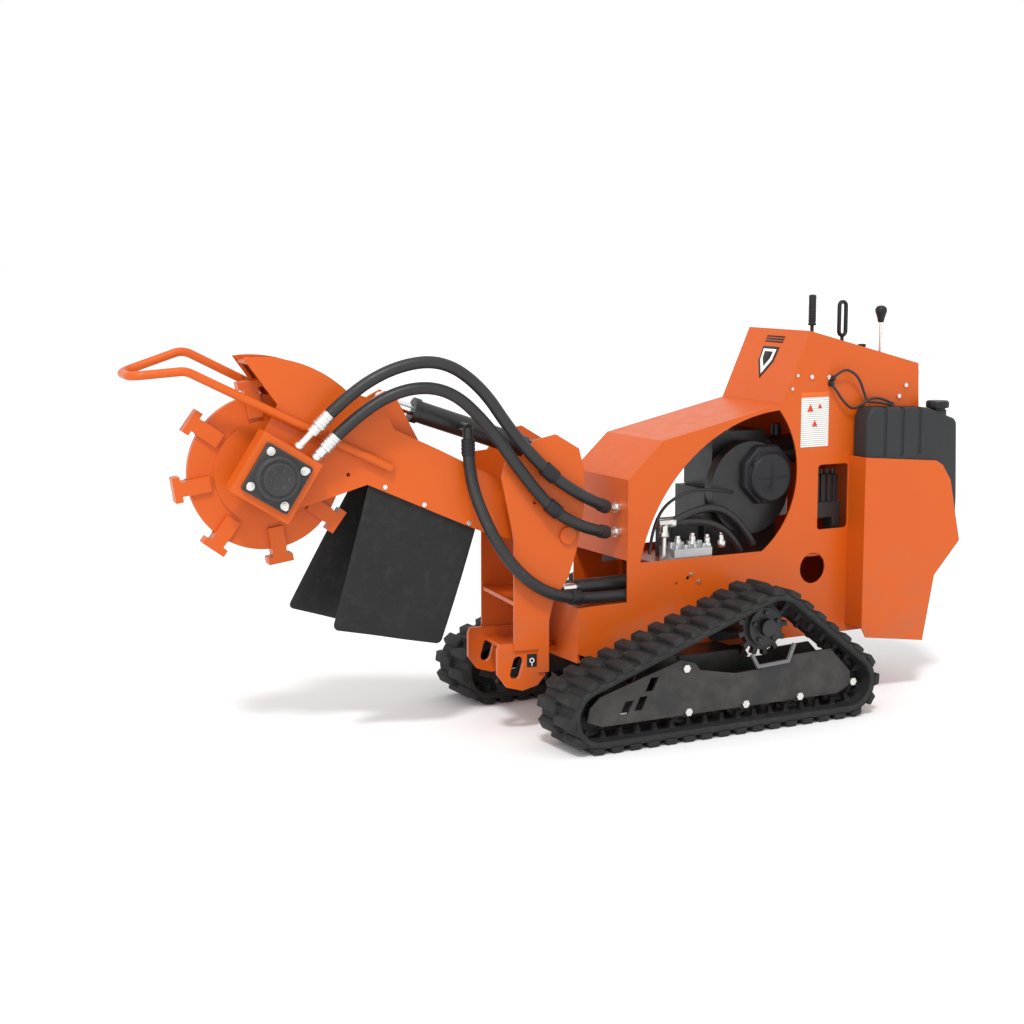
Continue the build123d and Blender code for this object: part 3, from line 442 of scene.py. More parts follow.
# ------------------------------------------------------------------ hoses
FEED_ROUTE = (
    (0.036, -1.167, 0.960), (0.066, -1.083, 1.052), (0.100, -0.951, 1.130), (0.123, -0.811, 1.145),
    (0.140, -0.692, 1.062), (0.158, -0.604, 0.928), (0.172, -0.487, 0.800), (0.194, -0.400, 0.738),
    (0.176, -0.318, 0.700), (0.130, -0.262, 0.680),
)
RETURN_ROUTE = (
    (0.039, -1.148, 0.896), (0.068, -1.062, 0.990), (0.104, -0.925, 1.068), (0.128, -0.790, 1.060),
    (0.144, -0.674, 0.952), (0.158, -0.576, 0.812), (0.174, -0.476, 0.690), (0.196, -0.394, 0.640),
    (0.176, -0.316, 0.616), (0.130, -0.262, 0.602),
)
DRAIN_ROUTE = (
    (0.071, -0.703, 0.905), (0.071, -0.703, 0.800), (0.134, -0.676, 0.655), (0.160, -0.598, 0.520),
    (0.174, -0.500, 0.442), (0.163, -0.390, 0.412), (0.141, -0.280, 0.402), (0.141, -0.151, 0.402),
)


def smooth_line(route):
    """Points along the smooth line of a hose or lead."""
    curve = bpy.data.curves.new("route", "CURVE")
    curve.dimensions = "3D"
    curve.resolution_u = 10
    spline = curve.splines.new("NURBS")
    spline.points.add(len(route) - 1)
    for point, place in zip(spline.points, route):
        point.co = (*place, 1.0)
    spline.order_u = 3
    spline.use_endpoint_u = True
    holder = bpy.data.objects.new("route", curve)
    bpy.context.scene.collection.objects.link(holder)
    bpy.context.view_layer.update()
    mesh = bpy.data.meshes.new_from_object(holder)
    line = [v.co.copy() for v in mesh.vertices]
    bpy.data.objects.remove(holder)
    bpy.data.meshes.remove(mesh)
    return line


def tube(name, line, radius, material, sides=24):
    """A tube swept along a line, with a map that runs along its length."""
    bm = bmesh.new()
    ring = bmesh.ops.create_circle(bm, cap_ends=False, segments=sides, radius=radius)["verts"]
    heading = (line[1] - line[0]).normalized()
    bmesh.ops.transform(bm, matrix=aimed(line[0], line[1]), verts=ring)
    edges = list({e for v in ring for e in v.link_edges})
    bmesh.ops.contextual_create(bm, geom=edges)
    run = bm.loops.layers.uv.new("UVMap")
    along = 0.0
    for index in range(1, len(line)):
        ahead = line[min(index + 1, len(line) - 1)] - line[index - 1]
        ahead.normalize()
        along += (line[index] - line[index - 1]).length
        made = bmesh.ops.extrude_edge_only(bm, edges=edges)["geom"]
        ring = [g for g in made if isinstance(g, bmesh.types.BMVert)]
        edges = [g for g in made if isinstance(g, bmesh.types.BMEdge)]
        turn = heading.rotation_difference(ahead).to_matrix().to_4x4()
        move = Matrix.Translation(line[index]) @ turn @ Matrix.Translation(-line[index - 1])
        bmesh.ops.transform(bm, matrix=move, verts=ring)
        heading = ahead
        for face in {f for v in ring for f in v.link_faces}:
            for loop in face.loops:
                done = loop.vert in ring
                step = (line[index] - line[index - 1]).length
                loop[run].uv = (along if done else along - step, 0.0)
    bmesh.ops.contextual_create(bm, geom=edges)
    for face in bm.faces:
        middle = face.calc_center_median()
        nearest = min(range(len(line)), key=lambda i: (line[i] - middle).length_squared)
        for loop in face.loops:
            around = (loop.vert.co - line[nearest]).normalized()
            loop[run].uv.y = 0.03 * (around.z + around.x)
    return finished(name, bm, material)


def line_length(line):
    """Length of a line of points."""
    return sum((b - a).length for a, b in zip(line, line[1:]))


def nearest_index(line, place):
    """Index of the point on a line that is nearest to a place."""
    return min(range(len(line)), key=lambda i: (line[i] - Vector(place)).length)


def sleeve(name, line, index, radius, body):
    """A short rubber sleeve round a hose where the mast carries it."""
    low, high = line[index - 2], line[index + 2]
    length = (high - low).length
    bm = bmesh.new()
    profile = [
        (radius - 0.001, 0), (radius + 0.0035, 0), (radius + 0.005, 0.003),
        (radius + 0.005, length - 0.003), (radius + 0.0035, length), (radius - 0.001, length),
        (radius - 0.001, 0),
    ]
    turned(bm, profile, aimed(low, high))
    return finished(name, bm, FINISHES["black_plastic"], body)


def hose(node, route, radius, split_at):
    """One hydraulic hose in two lengths that meet where the mast carries it."""
    line = smooth_line(route)
    cut = nearest_index(line, split_at)
    outer, inner = line[: cut + 1], line[cut:][::-1]
    front = tube(f"{node}_front", outer, radius, FINISHES["hose_rubber"])
    back = tube(f"{node}_back", inner, radius, FINISHES["hose_rubber"])
    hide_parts(node)
    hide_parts(node)
    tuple(outer[-1])
    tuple(outer[0])
    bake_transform(front)
    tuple(inner[0])
    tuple(inner[-1])
    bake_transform(back)
    collar = sleeve(f"{node}_sleeve", line, cut, radius, "mast")
    tuple(inner[0])
    line_length(inner)
    [tuple(p) for p in inner]
    tuple(outer[0])
    line_length(outer)
    [tuple(p) for p in outer]


def crimp(bm, place, radius):
    """Crimped collar at a hose's end."""
    profile = [(radius - 0.002, 0), (radius + 0.002, 0.001)]
    for i in range(4):
        z = 0.004 + i * 0.011
        profile += [(radius + 0.003, z), (radius + 0.003, z + 0.007)]
        profile += [(radius + 0.0015, z + 0.008), (radius + 0.0015, z + 0.010)]
    profile += [(radius + 0.002, 0.05), (radius - 0.002, 0.051), (radius - 0.002, 0)]
    turned(bm, profile, place)


# ------------------------------------------------------------------ tracks
def loop_stations(inset, steps=14):
    """Points and headings round the track's loop, inset from the lug tips."""
    stations = []
    count = len(TRACK_WHEELS)
    for i in range(count):
        (before, r_before), (here, r_here), (after, r_after) = (
            TRACK_WHEELS[(i + k) % count] for k in (-1, 0, 1)
        )
        angles = []
        for (p, rp), (q, rq) in (((before, r_before), (here, r_here)), ((here, r_here), (after, r_after))):
            run = Vector(q) - Vector(p)
            angles.append(atan2(run.y, run.x) - pi / 2 + asin((rp - rq) / run.length))
        first, last = angles
        while last < first:
            last += tau
        for k in range(steps + 1):
            angle = first + (last - first) * k / steps
            radius = r_here - inset
            stations.append((Vector((here[0] + radius * cos(angle), here[1] + radius * sin(angle))), angle))
    return stations


def loop_walk(stations, pitches, phase):
    """Evenly spaced places round a closed loop, as (point, outward angle)."""
    closed = stations + stations[:1]
    lengths = [(b[0] - a[0]).length for a, b in zip(closed, closed[1:])]
    pitch = sum(lengths) / pitches
    places = []
    for step in range(pitches):
        target = (step + phase) * pitch % sum(lengths)
        index, travelled = 0, 0.0
        while travelled + lengths[index] < target:
            travelled += lengths[index]
            index += 1
        share = (target - travelled) / max(lengths[index], 1e-9)
        a, b = closed[index][0], closed[index + 1][0]
        point = a.lerp(b, share)
        run = b - a
        places.append((point, atan2(run.y, run.x) - pi / 2))
    return places, pitch


def track_place(x, point, angle):
    """Matrix on the belt: x across, y along the belt, z outward."""
    outward = Vector((0, cos(angle), sin(angle)))
    across = Vector((1, 0, 0))
    along = outward.cross(across)
    return Matrix((
        (across.x, along.x, outward.x, x), (across.y, along.y, outward.y, point.x),
        (across.z, along.z, outward.z, point.y), (0, 0, 0, 1),
    ))


def tread_block(bm, width, length, height, place, cut):
    """One tread block: a wide bar, tapered at its tip, with its inner corner cut back."""
    half, deep = width / 2, length / 2
    outline = [(-half, -deep), (half, -deep), (half, deep * 0.2), (half * 0.35, deep), (-half, deep)]
    if cut < 0:
        outline = [(-x, y) for x, y in outline][::-1]
    with shaped(bm, place) as own:
        own.faces.new([own.verts.new((x, y, 0)) for x, y in outline])
        tops = raised(own, height)
        bmesh.ops.scale(own, vec=(0.95, 0.8, 1), verts=tops)
        round_edges(own, list({e for v in tops for e in v.link_edges}), 0.0035, 2)


def belt_band(bm, middle):
    """The belt's closed band with rounded shoulders and a raised guide strip."""
    half = BELT_WIDTH / 2
    outer, inner = LUG_HEIGHT, LUG_HEIGHT + BELT_BASE
    profile = [
        (-half, outer + 0.006), (-half + 0.006, outer), (half - 0.006, outer), (half, outer + 0.006),
        (half, inner - 0.006), (half - 0.005, inner), (half - 0.016, inner), (half - 0.018, inner - 0.003),
        (-half + 0.018, inner - 0.003), (-half + 0.016, inner), (-half + 0.005, inner),
        (-half, inner - 0.006),
    ]
    paths = [loop_stations(inset) for _, inset in profile]
    stations = len(paths[0])
    rings = [
        [bm.verts.new((middle + x, *path[k][0])) for (x, _), path in zip(profile, paths)]
        for k in range(stations)
    ]
    loops = []
    for ring in rings:
        loops.append([bm.edges.new((ring[i], ring[(i + 1) % len(ring)])) for i in range(len(ring))])
    for k in range(stations):
        bmesh.ops.bridge_loops(bm, edges=loops[k] + loops[(k + 1) % stations])


class GRINDER_OT_tracks(bpy.types.Operator):
    """Rubber belts with staggered tread blocks."""
    bl_idname = "grinder.tracks"
    bl_label = "Rubber tracks"

    def execute(self, context):
        """Makes both belts with their tread blocks and inner guide lugs."""
        sizes = context.scene.grinder_tracks
        for side, sign in (("left", 1), ("right", -1)):
            bm = bmesh.new()
            middle = sign * TRACK_MIDDLE
            belt_band(bm, middle)
            width = BELT_WIDTH / 2 + 0.004
            for row, phase in ((1, 0.0), (-1, 0.5)):
                places, pitch = loop_walk(loop_stations(LUG_HEIGHT + 0.001), sizes.pitches, phase)
                for point, angle in places:
                    x = middle + row * (BELT_WIDTH / 2 - width / 2 - 0.001)
                    place = track_place(x, point, angle)
                    tread_block(bm, width, pitch * 0.66, LUG_HEIGHT + 0.0005, place, -row)
            guide_line = loop_stations(LUG_HEIGHT + BELT_BASE - 0.004)
            seat = Matrix.Translation((0, 0, 0.012)) @ Matrix.Rotation(pi / 4, 4, "Z")
            for x in (-0.031, 0.031):
                places, pitch = loop_walk(guide_line, sizes.pitches, 0.25)
                for point, angle in places:
                    place = track_place(middle + x, point, angle + pi)
                    with shaped(bm, place) as own:
                        bmesh.ops.create_cone(
                            own, cap_ends=True, segments=4, radius1=0.0135, radius2=0.007, depth=0.024,
                            matrix=seat,
                        )
            finished(f"rubber_belt_{side}", bm, FINISHES["track_rubber"], "chassis",
                     [f"track_belt_{side}"])
        return {"FINISHED"}


# ------------------------------------------------------------------ camera and hoses
class GRINDER_OT_camera(bpy.types.Operator):
    """Front quarter view of the machine."""
    bl_idname = "grinder.camera"
    bl_label = "Camera"

    def execute(self, context):
        """Places the camera low at the machine's front left."""
        data = bpy.data.cameras.new("Camera")
        data.lens = 65.04
        data.sensor_width = 36.0
        data.clip_end = 100.0
        camera = bpy.data.objects.new("Camera", data)
        context.scene.collection.objects.link(camera)
        target = Vector((0.0, -0.517, 0.665))
        camera.location = (4.917, -3.178, 1.477)
        camera.rotation_euler = (target - camera.location).to_track_quat("-Z", "Y").to_euler()
        context.scene.camera = camera
        return {"FINISHED"}


class GRINDER_OT_hoses(bpy.types.Operator):
    """The two motor hoses and the lift cylinder's hose."""
    bl_idname = "grinder.hoses"
    bl_label = "Hydraulic hoses"

    def execute(self, context):
        """Makes the three hoses and the crimped collars on their ends."""
        radius = context.scene.grinder_hoses.diameter / 2
        hose("feed_hose", FEED_ROUTE, radius, (0.172, -0.487, 0.800))
        hose("return_hose", RETURN_ROUTE, radius, (0.174, -0.476, 0.690))
        hose("drain_hose", DRAIN_ROUTE, radius, (0.163, -0.390, 0.412))
        for body, routes in (("boom", (FEED_ROUTE, RETURN_ROUTE)),
                             ("chassis", (FEED_ROUTE[::-1], RETURN_ROUTE[::-1])),
                             ("lift_barrel", (DRAIN_ROUTE,))):
            bm = bmesh.new()
            for route in routes:
                line = smooth_line(route)
                crimp(bm, aimed(line[0], line[1]), radius)
            material = "black_plastic" if body != "boom" else "zinc"
            finished(f"hose_collars_{body}", bm, FINISHES[material], body)
        return {"FINISHED"}


# ------------------------------------------------------------------ finishes on the steel parts
class GRINDER_OT_finishes(bpy.types.Operator):
    """Gives each steel, cast and moulded part its finish."""
    bl_idname = "grinder.finishes"
    bl_label = "Paint and plating"

    def execute(self, context):
        """Makes the finishes and puts them on the parts."""
        FINISHES.update(make_finishes(context.scene.grinder_paint))
        slots = {part["node"]: part["material_slot"] for part in frame["record"]["subparts"]}
        for name, node in frame["nodes"].items():
            material = FINISHES[slots[name]]
            if not node.material_slots:
                raise RuntimeError(f"{name} has no material slot")
            for holder in node.material_slots:
                holder.material = material
        return {"FINISHED"}


# ------------------------------------------------------------------ cutter end
class GRINDER_OT_cutter_motor(bpy.types.Operator):
    """Square-flanged hydraulic motor with its round end cap."""
    bl_idname = "grinder.cutter_motor"
    bl_label = "Cutter motor"

    def execute(self, context):
        """Makes the motor's flange, body, ribbed end cap and four bolts."""
        turn = Matrix.Rotation(radians(-32), 4, "Z")
        bm = bmesh.new()
        face = boom_place(*CUTTER_AXLE, 0.160) @ turn
        turned(bm, dish(0.048, 0.072, 0.001), boom_place(*CUTTER_AXLE, 0.0885))
        half = 0.0765
        plate(bm, [(-half, -half), (half, -half), (half, half), (-half, half)], 0.014, face, 0.0015, 0.008)
        body = [
            (0.0, 0.010), (0.062, 0.010), (0.062, 0.022), (0.060, 0.0235), (0.060, 0.027), (0.062, 0.0285),
            (0.062, 0.032), (0.0595, 0.034), (0.052, 0.034), (0.050, 0.0325), (0.047, 0.0325),
            (0.046, 0.0345), (0.046, 0.038), (0.0445, 0.040), (0.030, 0.040), (0.028, 0.039),
            (0.010, 0.039), (0.0, 0.039),
        ]
        turned(bm, body, boom_place(*CUTTER_AXLE, 0.160), 48)
        for turn_by in range(6):
            spoke = boom_place(*CUTTER_AXLE, 0.1975) @ Matrix.Rotation(turn_by * tau / 6, 4, "Z")
            block(bm, (0.018, 0.004, 0.004), spoke @ Matrix.Translation((0.033, 0, 0)), 0.001, 1)
        finished("cutter_motor_body", bm, FINISHES["cast_black"], "boom", ["cutter_motor"])
        head = [
            (0.0, 0), (0.009, 0), (0.009, 0.008), (0.008, 0.009), (0.005, 0.009), (0.0045, 0.005),
            (0.0, 0.005),
        ]
        bm = bmesh.new()
        for x in (-0.057, 0.057):
            for y in (-0.057, 0.057):
                seat = face @ Matrix.Translation((x, y, 0.0135))
                turned(bm, [(0.0, 0), (0.0125, 0), (0.0125, 0.002), (0.0, 0.002)], seat, 24)
                turned(bm, head, seat, 20)
        finished("cutter_motor_bolts", bm, FINISHES["zinc"], "boom")
        return {"FINISHED"}


class GRINDER_OT_chip_mats(bpy.types.Operator):
    """Two rubber mats hung from the boom."""
    bl_idname = "grinder.chip_mats"
    bl_label = "Chip mats"

    def execute(self, context):
        """Makes the two mats, hung with a slight sag and bowed by their own weight."""
        mats = (
            ("near_chip_mat", 0.0675, 1,
             ((-0.560, 0.790), (-0.231, 0.640), (-0.346, 0.284), (-0.680, 0.352))),
            ("far_chip_mat", -0.0755, -1,
             ((-0.560, 0.790), (-0.240, 0.645), (-0.470, 0.305), (-0.779, 0.400))),
        )
        for node, side, out, corners in mats:
            top_front, top_rear, low_rear, low_front = (Vector(c) for c in corners)
            bm = bmesh.new()
            across, down = 22, 24
            bmesh.ops.create_grid(bm, x_segments=across, y_segments=down, size=0.5)
            for vert in bm.verts:
                u, v = vert.co.x + 0.5, 0.5 - vert.co.y
                top = top_front.lerp(top_rear, u)
                low = low_front.lerp(low_rear, u)
                spot = top.lerp(low, v)
                bow = 0.006 * out * sin(pi * v) * (0.6 + 0.4 * cos(tau * u))
                ripple = 0.0025 * sin(3.2 * u * pi + 1.1) * v * v
                vert.co = (spot.x, spot.y, bow + ripple)
            rounded = [v for v in bm.verts if len(v.link_edges) == 2 and v.co.y < 0.5]
            bmesh.ops.bevel(
                bm, geom=rounded, offset=0.02, segments=5, profile=0.5, affect="VERTICES", material=-1
            )
            bmesh.ops.solidify(bm, geom=bm.faces[:] + bm.edges[:] + bm.verts[:], thickness=0.006)
            edges = [e for e in bm.edges if e.calc_face_angle(0) > radians(60)]
            round_edges(bm, edges, 0.0015, 2)
            bmesh.ops.transform(bm, matrix=boom_place(0, 0, side + 0.003), verts=bm.verts)
            name = node.replace("chip", "rubber")
            mat = finished(name, bm, FINISHES["mat_rubber"], "boom", [node])
            self.area(corners)
        return {"FINISHED"}

    @staticmethod
    def area(corners):
        """Flat area of a mat from its corners."""
        pairs = zip(corners, corners[1:] + corners[:1])
        return abs(sum(a[0] * b[1] - b[0] * a[1] for a, b in pairs)) / 2


# ------------------------------------------------------------------ tank
class GRINDER_OT_fuel_tank(bpy.types.Operator):
    """Moulded tank with pressed ribs and a fluted cap."""
    bl_idname = "grinder.fuel_tank"
    bl_label = "Fuel tank"
    ribs = ((0.718, 0.735), (0.790, 0.807), (0.862, 0.879))

    def in_rib(self, place):
        """Whether a place on the tank is in one of its pressed ribs."""
        return place.y > 0.79 and any(start < place.x < end for start, end in self.ribs)

    @staticmethod
    def cut(own, place, facing):
        """Splits the mesh's faces along a plane."""
        geometry = own.verts[:] + own.edges[:] + own.faces[:]
        bmesh.ops.bisect_plane(own, geom=geometry, plane_co=place, plane_no=facing)

    def execute(self, context):
        """Makes the tank with its ribs, filler neck and the fluted cap."""
        low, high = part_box("fuel_tank")
        tank_in, tank_out = low[0], high[0]
        bm = bmesh.new()
        outline = [
            (0.654, 0.296), (0.885, 0.296), (0.935, 0.395), (1.038, 0.500), (1.040, 0.640), (1.030, 0.900),
            (0.905, 0.945), (0.672, 0.955), (0.654, 0.915),
        ]
        with shaped(bm, side_place(0, 0, tank_in)) as own:
            own.faces.new([own.verts.new((y, z, 0)) for y, z in outline])
            raised(own, tank_out - tank_in)
            upright = [e for e in own.edges if abs(e.verts[0].co.z - e.verts[1].co.z) > 0.01]
            round_edges(own, upright, 0.016, 4)
            rims = [
                e for e in own.edges
                if e.calc_face_angle(0) > radians(60) and abs(e.verts[0].co.z - e.verts[1].co.z) < 1e-6
            ]
            round_edges(own, rims, 0.011, 4)
            for start, end in self.ribs:
                for y in (start, end):
                    self.cut(own, (y, 0, 0), (1, 0, 0))
            self.cut(own, (0, 0.79, 0), (0, 1, 0))
            grooves = [f for f in own.faces if self.in_rib(f.calc_center_median())]
            bmesh.ops.inset_region(
                own, faces=grooves, thickness=0.003, depth=-0.006, use_even_offset=True, use_boundary=True
            )
        neck = Matrix.Translation(((tank_in + tank_out) / 2, 0.975, 0.0))
        filler = [(0.0, 0.900), (0.030, 0.900), (0.030, 0.930), (0.026, 0.932), (0.026, 0.939), (0.0, 0.939)]
        turned(bm, filler, neck, 40)
        plastic = FINISHES["tank_plastic"]
        finished("tank_body", bm, plastic, "chassis", ["fuel_tank"], radians(50))
        bm = bmesh.new()
        cap = neck @ Matrix.Translation((0, 0, 0.938))
        lid = [
            (0.0, 0), (0.0355, 0), (0.0365, 0.002), (0.0365, 0.0195), (0.034, 0.0235), (0.022, 0.0238),
            (0.0, 0.0238),
        ]
        turned(bm, lid, cap, 48)
        for index in range(12):
            turn = Matrix.Rotation((index + 0.5) * tau / 12, 4, "Z")
            grip = cap @ turn @ Matrix.Translation((0.0352, 0, 0.0105))
            block(bm, (0.0055, 0.0105, 0.019), grip, 0.0022, 2)
        finished("tank_cap", bm, FINISHES["black_plastic"], "fuel_cap", ["fuel_cap"])
        return {"FINISHED"}


# ------------------------------------------------------------------ engine bay
class GRINDER_OT_air_cleaner(bpy.types.Operator):
    """Eight-sided housing with a round ribbed cover."""
    bl_idname = "grinder.air_cleaner"
    bl_label = "Air cleaner"

    def execute(self, context):
        """Makes the air cleaner's housing, its cover with cross ribs and the drain hole."""
        bm = bmesh.new()
        with shaped(bm, side_place(0.354, 0.742, 0.1005) @ Matrix.Rotation(pi / 8, 4, "Z")) as own:
            bmesh.ops.create_circle(own, cap_ends=True, segments=8, radius=0.104)
            bmesh.ops.scale(own, vec=(0.94, 0.94, 1), verts=raised(own, 0.022))
            round_edges(own, own.edges[:], 0.004, 3)
        cover = [
            (0.0, 0.0), (0.080, 0.0), (0.080, 0.006), (0.0775, 0.008), (0.0775, 0.012), (0.0795, 0.014),
            (0.079, 0.017), (0.074, 0.0225), (0.066, 0.0245), (0.060, 0.0235), (0.040, 0.0215), (0.0, 0.0205),
        ]
        face = side_place(0.354, 0.735, 0.1215)
        turned(bm, cover, face, 56)
        for angle in (0, pi / 2):
            rib = face @ Matrix.Rotation(angle, 4, "Z") @ Matrix.Translation((0, 0, 0.0215))
            block(bm, (0.118, 0.004, 0.006), rib, 0.0012, 2)
        turned(bm, [(0.0135, 0.020), (0.0135, 0.0245), (0.010, 0.0245), (0.010, 0.0215), (0.0, 0.0215)],
               face @ Matrix.Translation((-0.020, -0.034, 0)), 24)
        for angle in (0.4, 2.5, 4.4):
            clip = face @ Matrix.Rotation(angle, 4, "Z") @ Matrix.Translation((0.0805, 0, 0.008))
            block(bm, (0.006, 0.018, 0.014), clip, 0.0015, 2)
        plastic = FINISHES["black_plastic"]
        finished("air_cleaner_cover", bm, plastic, "chassis", ["air_cleaner"])
        return {"FINISHED"}


class GRINDER_OT_engine_bay(bpy.types.Operator):
    """Pipes, hoses and adaptors seen through the side opening."""
    bl_idname = "grinder.engine_bay"
    bl_label = "Engine bay plumbing"

    def execute(self, context):
        """Makes the bay's tee, steel pipes, low-pressure hoses and bracket panel."""
        bm = bmesh.new()
        tee = side_place(-0.040, 0.612, 0.118)
        across, down = tee @ Matrix.Rotation(pi / 2, 4, "Y"), tee @ Matrix.Rotation(pi / 2, 4, "X")
        turned(bm, [(0.0, -0.024), (0.013, -0.024), (0.013, 0.024), (0.0, 0.024)], across, 24)
        turned(bm, [(0.0, 0.0), (0.012, 0.0), (0.012, 0.032), (0.0, 0.032)], down, 24)
        hexagon(bm, 0.017, 0.014, across @ Matrix.Translation((0, 0, 0.022)))
        hexagon(bm, 0.016, 0.014, down @ Matrix.Translation((0, 0, 0.030)))
        pipe = [(0.0, 0.0), (0.007, 0.0), (0.007, 0.070), (0.0, 0.070)]
        turned(bm, pipe, down @ Matrix.Translation((0, 0, 0.042)), 20)
        adaptor = [(0.0, 0.0), (0.010, 0.0), (0.010, 0.020), (0.007, 0.022), (0.007, 0.030), (0.0, 0.030)]
        for y, z in ((0.02, 0.527), (0.075, 0.533), (0.13, 0.525), (0.185, 0.530)):
            hexagon(bm, 0.015, 0.022, Matrix.Translation((0.105, y, z - 0.012)))
            turned(bm, adaptor, Matrix.Translation((0.105, y, z + 0.008)), 20)
        finished("bay_adaptors", bm, FINISHES["zinc"], "chassis")
        runs = (
            ("bay_hose_upper", 0.013, (
                (0.118, -0.015, 0.612), (0.118, 0.050, 0.640), (0.125, 0.150, 0.655), (0.128, 0.240, 0.600),
                (0.118, 0.300, 0.520))),
            ("bay_hose_lower", 0.012, (
                (0.118, -0.012, 0.612), (0.116, 0.060, 0.612), (0.120, 0.140, 0.600), (0.122, 0.210, 0.560),
                (0.112, 0.255, 0.500))),
            ("bay_lead", 0.005, (
                (0.128, -0.100, 0.520), (0.130, -0.090, 0.640), (0.130, 0.030, 0.715), (0.128, 0.170, 0.705),
                (0.100, 0.230, 0.690))),
        )
        for name, radius, route in runs:
            piece = tube(name, smooth_line(route), radius, FINISHES["hose_rubber"], 18)
            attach(piece, "chassis")
        bm = bmesh.new()
        panel = [(-0.185, 0.482), (-0.050, 0.482), (-0.050, 0.70), (-0.120, 0.70)]
        plate(bm, panel, 0.003, side_place(0, 0, -0.02), 0.0006)
        finished("bay_divider", bm, FINISHES["grey_paint"], "chassis")
        return {"FINISHED"}


# ------------------------------------------------------------------ controls
class GRINDER_OT_levers(bpy.types.Operator):
    """Grip lever, loop lever, knobbed lever and the throttle knob."""
    bl_idname = "grinder.levers"
    bl_label = "Control levers"

    def execute(self, context):
        """Makes the levers with their grips and the gate strips on the console roof."""
        self.grip(GRIP_LEVER_Y)
        self.loop(LOOP_LEVER_Y)
        self.knobbed(KNOB_LEVER_Y)
        self.throttle(THROTTLE_Y)
        bm = bmesh.new()
        fall = atan2(CONSOLE_REAR[1] - CONSOLE_FRONT[1], CONSOLE_REAR[0] - CONSOLE_FRONT[0])
        slope = Matrix.Rotation(fall, 4, "X")
        for y, long in ((GRIP_LEVER_Y, 0.132), (LOOP_LEVER_Y, 0.110), (KNOB_LEVER_Y, 0.122)):
            place = Matrix.Translation((LEVER_X, y, roof_height(y) + 0.001)) @ slope
            for x in (-0.0115, 0.0115):
                block(bm, (0.006, long, 0.003), place @ Matrix.Translation((x, 0, 0)), 0.001, 2)
        finished("lever_gates", bm, FINISHES["black_plastic"], "chassis")
        return {"FINISHED"}

    def stem(self, bm, y, high, radius=0.006):
        """The lever's hub and rod."""
        top = roof_height(y)
        hub = Matrix.Translation((LEVER_X, y, top - 0.05)) @ Matrix.Rotation(pi / 2, 4, "Y")
        rim = [(0.0085, -0.007), (0.016, -0.007), (0.016, 0.007), (0.0085, 0.007), (0.0085, -0.007)]
        turned(bm, rim, hub)
        rod = Matrix.Translation((LEVER_X, y, top - 0.036))
        turned(bm, [(0.0, 0.0), (radius, 0.0), (radius, high), (0.0, high)], rod, 20)

    def grip(self, y):
        """The lever with the ribbed grip."""
        top = roof_height(y)
        bm = bmesh.new()
        self.stem(bm, y, 0.08)
        profile = [(0.0, 0.034), (0.0115, 0.034), (0.013, 0.036), (0.013, 0.041), (0.0112, 0.043)]
        for index in range(11):
            z = 0.046 + index * 0.0075
            profile += [(0.0114, z), (0.0128, z + 0.0018), (0.0128, z + 0.0045), (0.0114, z + 0.0063)]
        profile += [(0.0128, 0.129), (0.0105, 0.1325), (0.0065, 0.134), (0.0, 0.134)]
        turned(bm, profile, Matrix.Translation((LEVER_X, y, top)), 28)
        plastic = FINISHES["black_plastic"]
        finished("grip_lever_rubber", bm, plastic, "grip_lever", ["grip_lever"])

    def loop(self, y):
        """The lever that ends in a loop."""
        top = roof_height(y)
        bm = bmesh.new()
        self.stem(bm, y, 0.065)
        ring = bmesh.ops.create_circle(bm, cap_ends=False, segments=14, radius=0.0063)["verts"]
        bmesh.ops.scale(bm, vec=(1.25, 1, 1), verts=ring)
        centre = Vector((LEVER_X, y, top + 0.086))
        bmesh.ops.transform(bm, matrix=Matrix.Translation(centre + Vector((0, 0.0135, -0.0415))), verts=ring)
        edges = list({e for v in ring for e in v.link_edges})
        path = [("move", 0.083), ("turn", centre + Vector((0, 0, 0.0415))), ("move", -0.083),
                ("turn", centre + Vector((0, 0, -0.0415)))]
        for kind, value in path:
            steps = 1 if kind == "move" else 10
            for _ in range(steps):
                made = bmesh.ops.extrude_edge_only(bm, edges=edges)["geom"]
                ring = [g for g in made if isinstance(g, bmesh.types.BMVert)]
                edges = [g for g in made if isinstance(g, bmesh.types.BMEdge)]
                if kind == "move":
                    bmesh.ops.translate(bm, vec=(0, 0, value), verts=ring)
                else:
                    bmesh.ops.rotate(bm, cent=value, matrix=Matrix.Rotation(pi / 10, 3, "X"), verts=ring)
        bmesh.ops.remove_doubles(bm, verts=bm.verts, dist=1e-5)
        plastic = FINISHES["black_plastic"]
        finished("loop_lever_rubber", bm, plastic, "loop_lever", ["loop_lever"])

    def knobbed(self, y):
        """The plated lever with the round knob."""
        top = roof_height(y)
        bm = bmesh.new()
        self.stem(bm, y, 0.152, 0.0055)
        finished("knob_lever_rod", bm, FINISHES["zinc"], "knob_lever", ["knob_lever"])
        bm = bmesh.new()
        profile = [
            (0.0, 0.112), (0.0095, 0.112), (0.0105, 0.115), (0.0125, 0.126), (0.0165, 0.138),
            (0.0195, 0.147), (0.0199, 0.153), (0.018, 0.160), (0.0125, 0.1655), (0.006, 0.1678), (0.0, 0.168),
        ]
        turned(bm, profile, Matrix.Translation((LEVER_X, y, top)), 36)
        finished("lever_knob", bm, FINISHES["black_plastic"], "knob_lever")

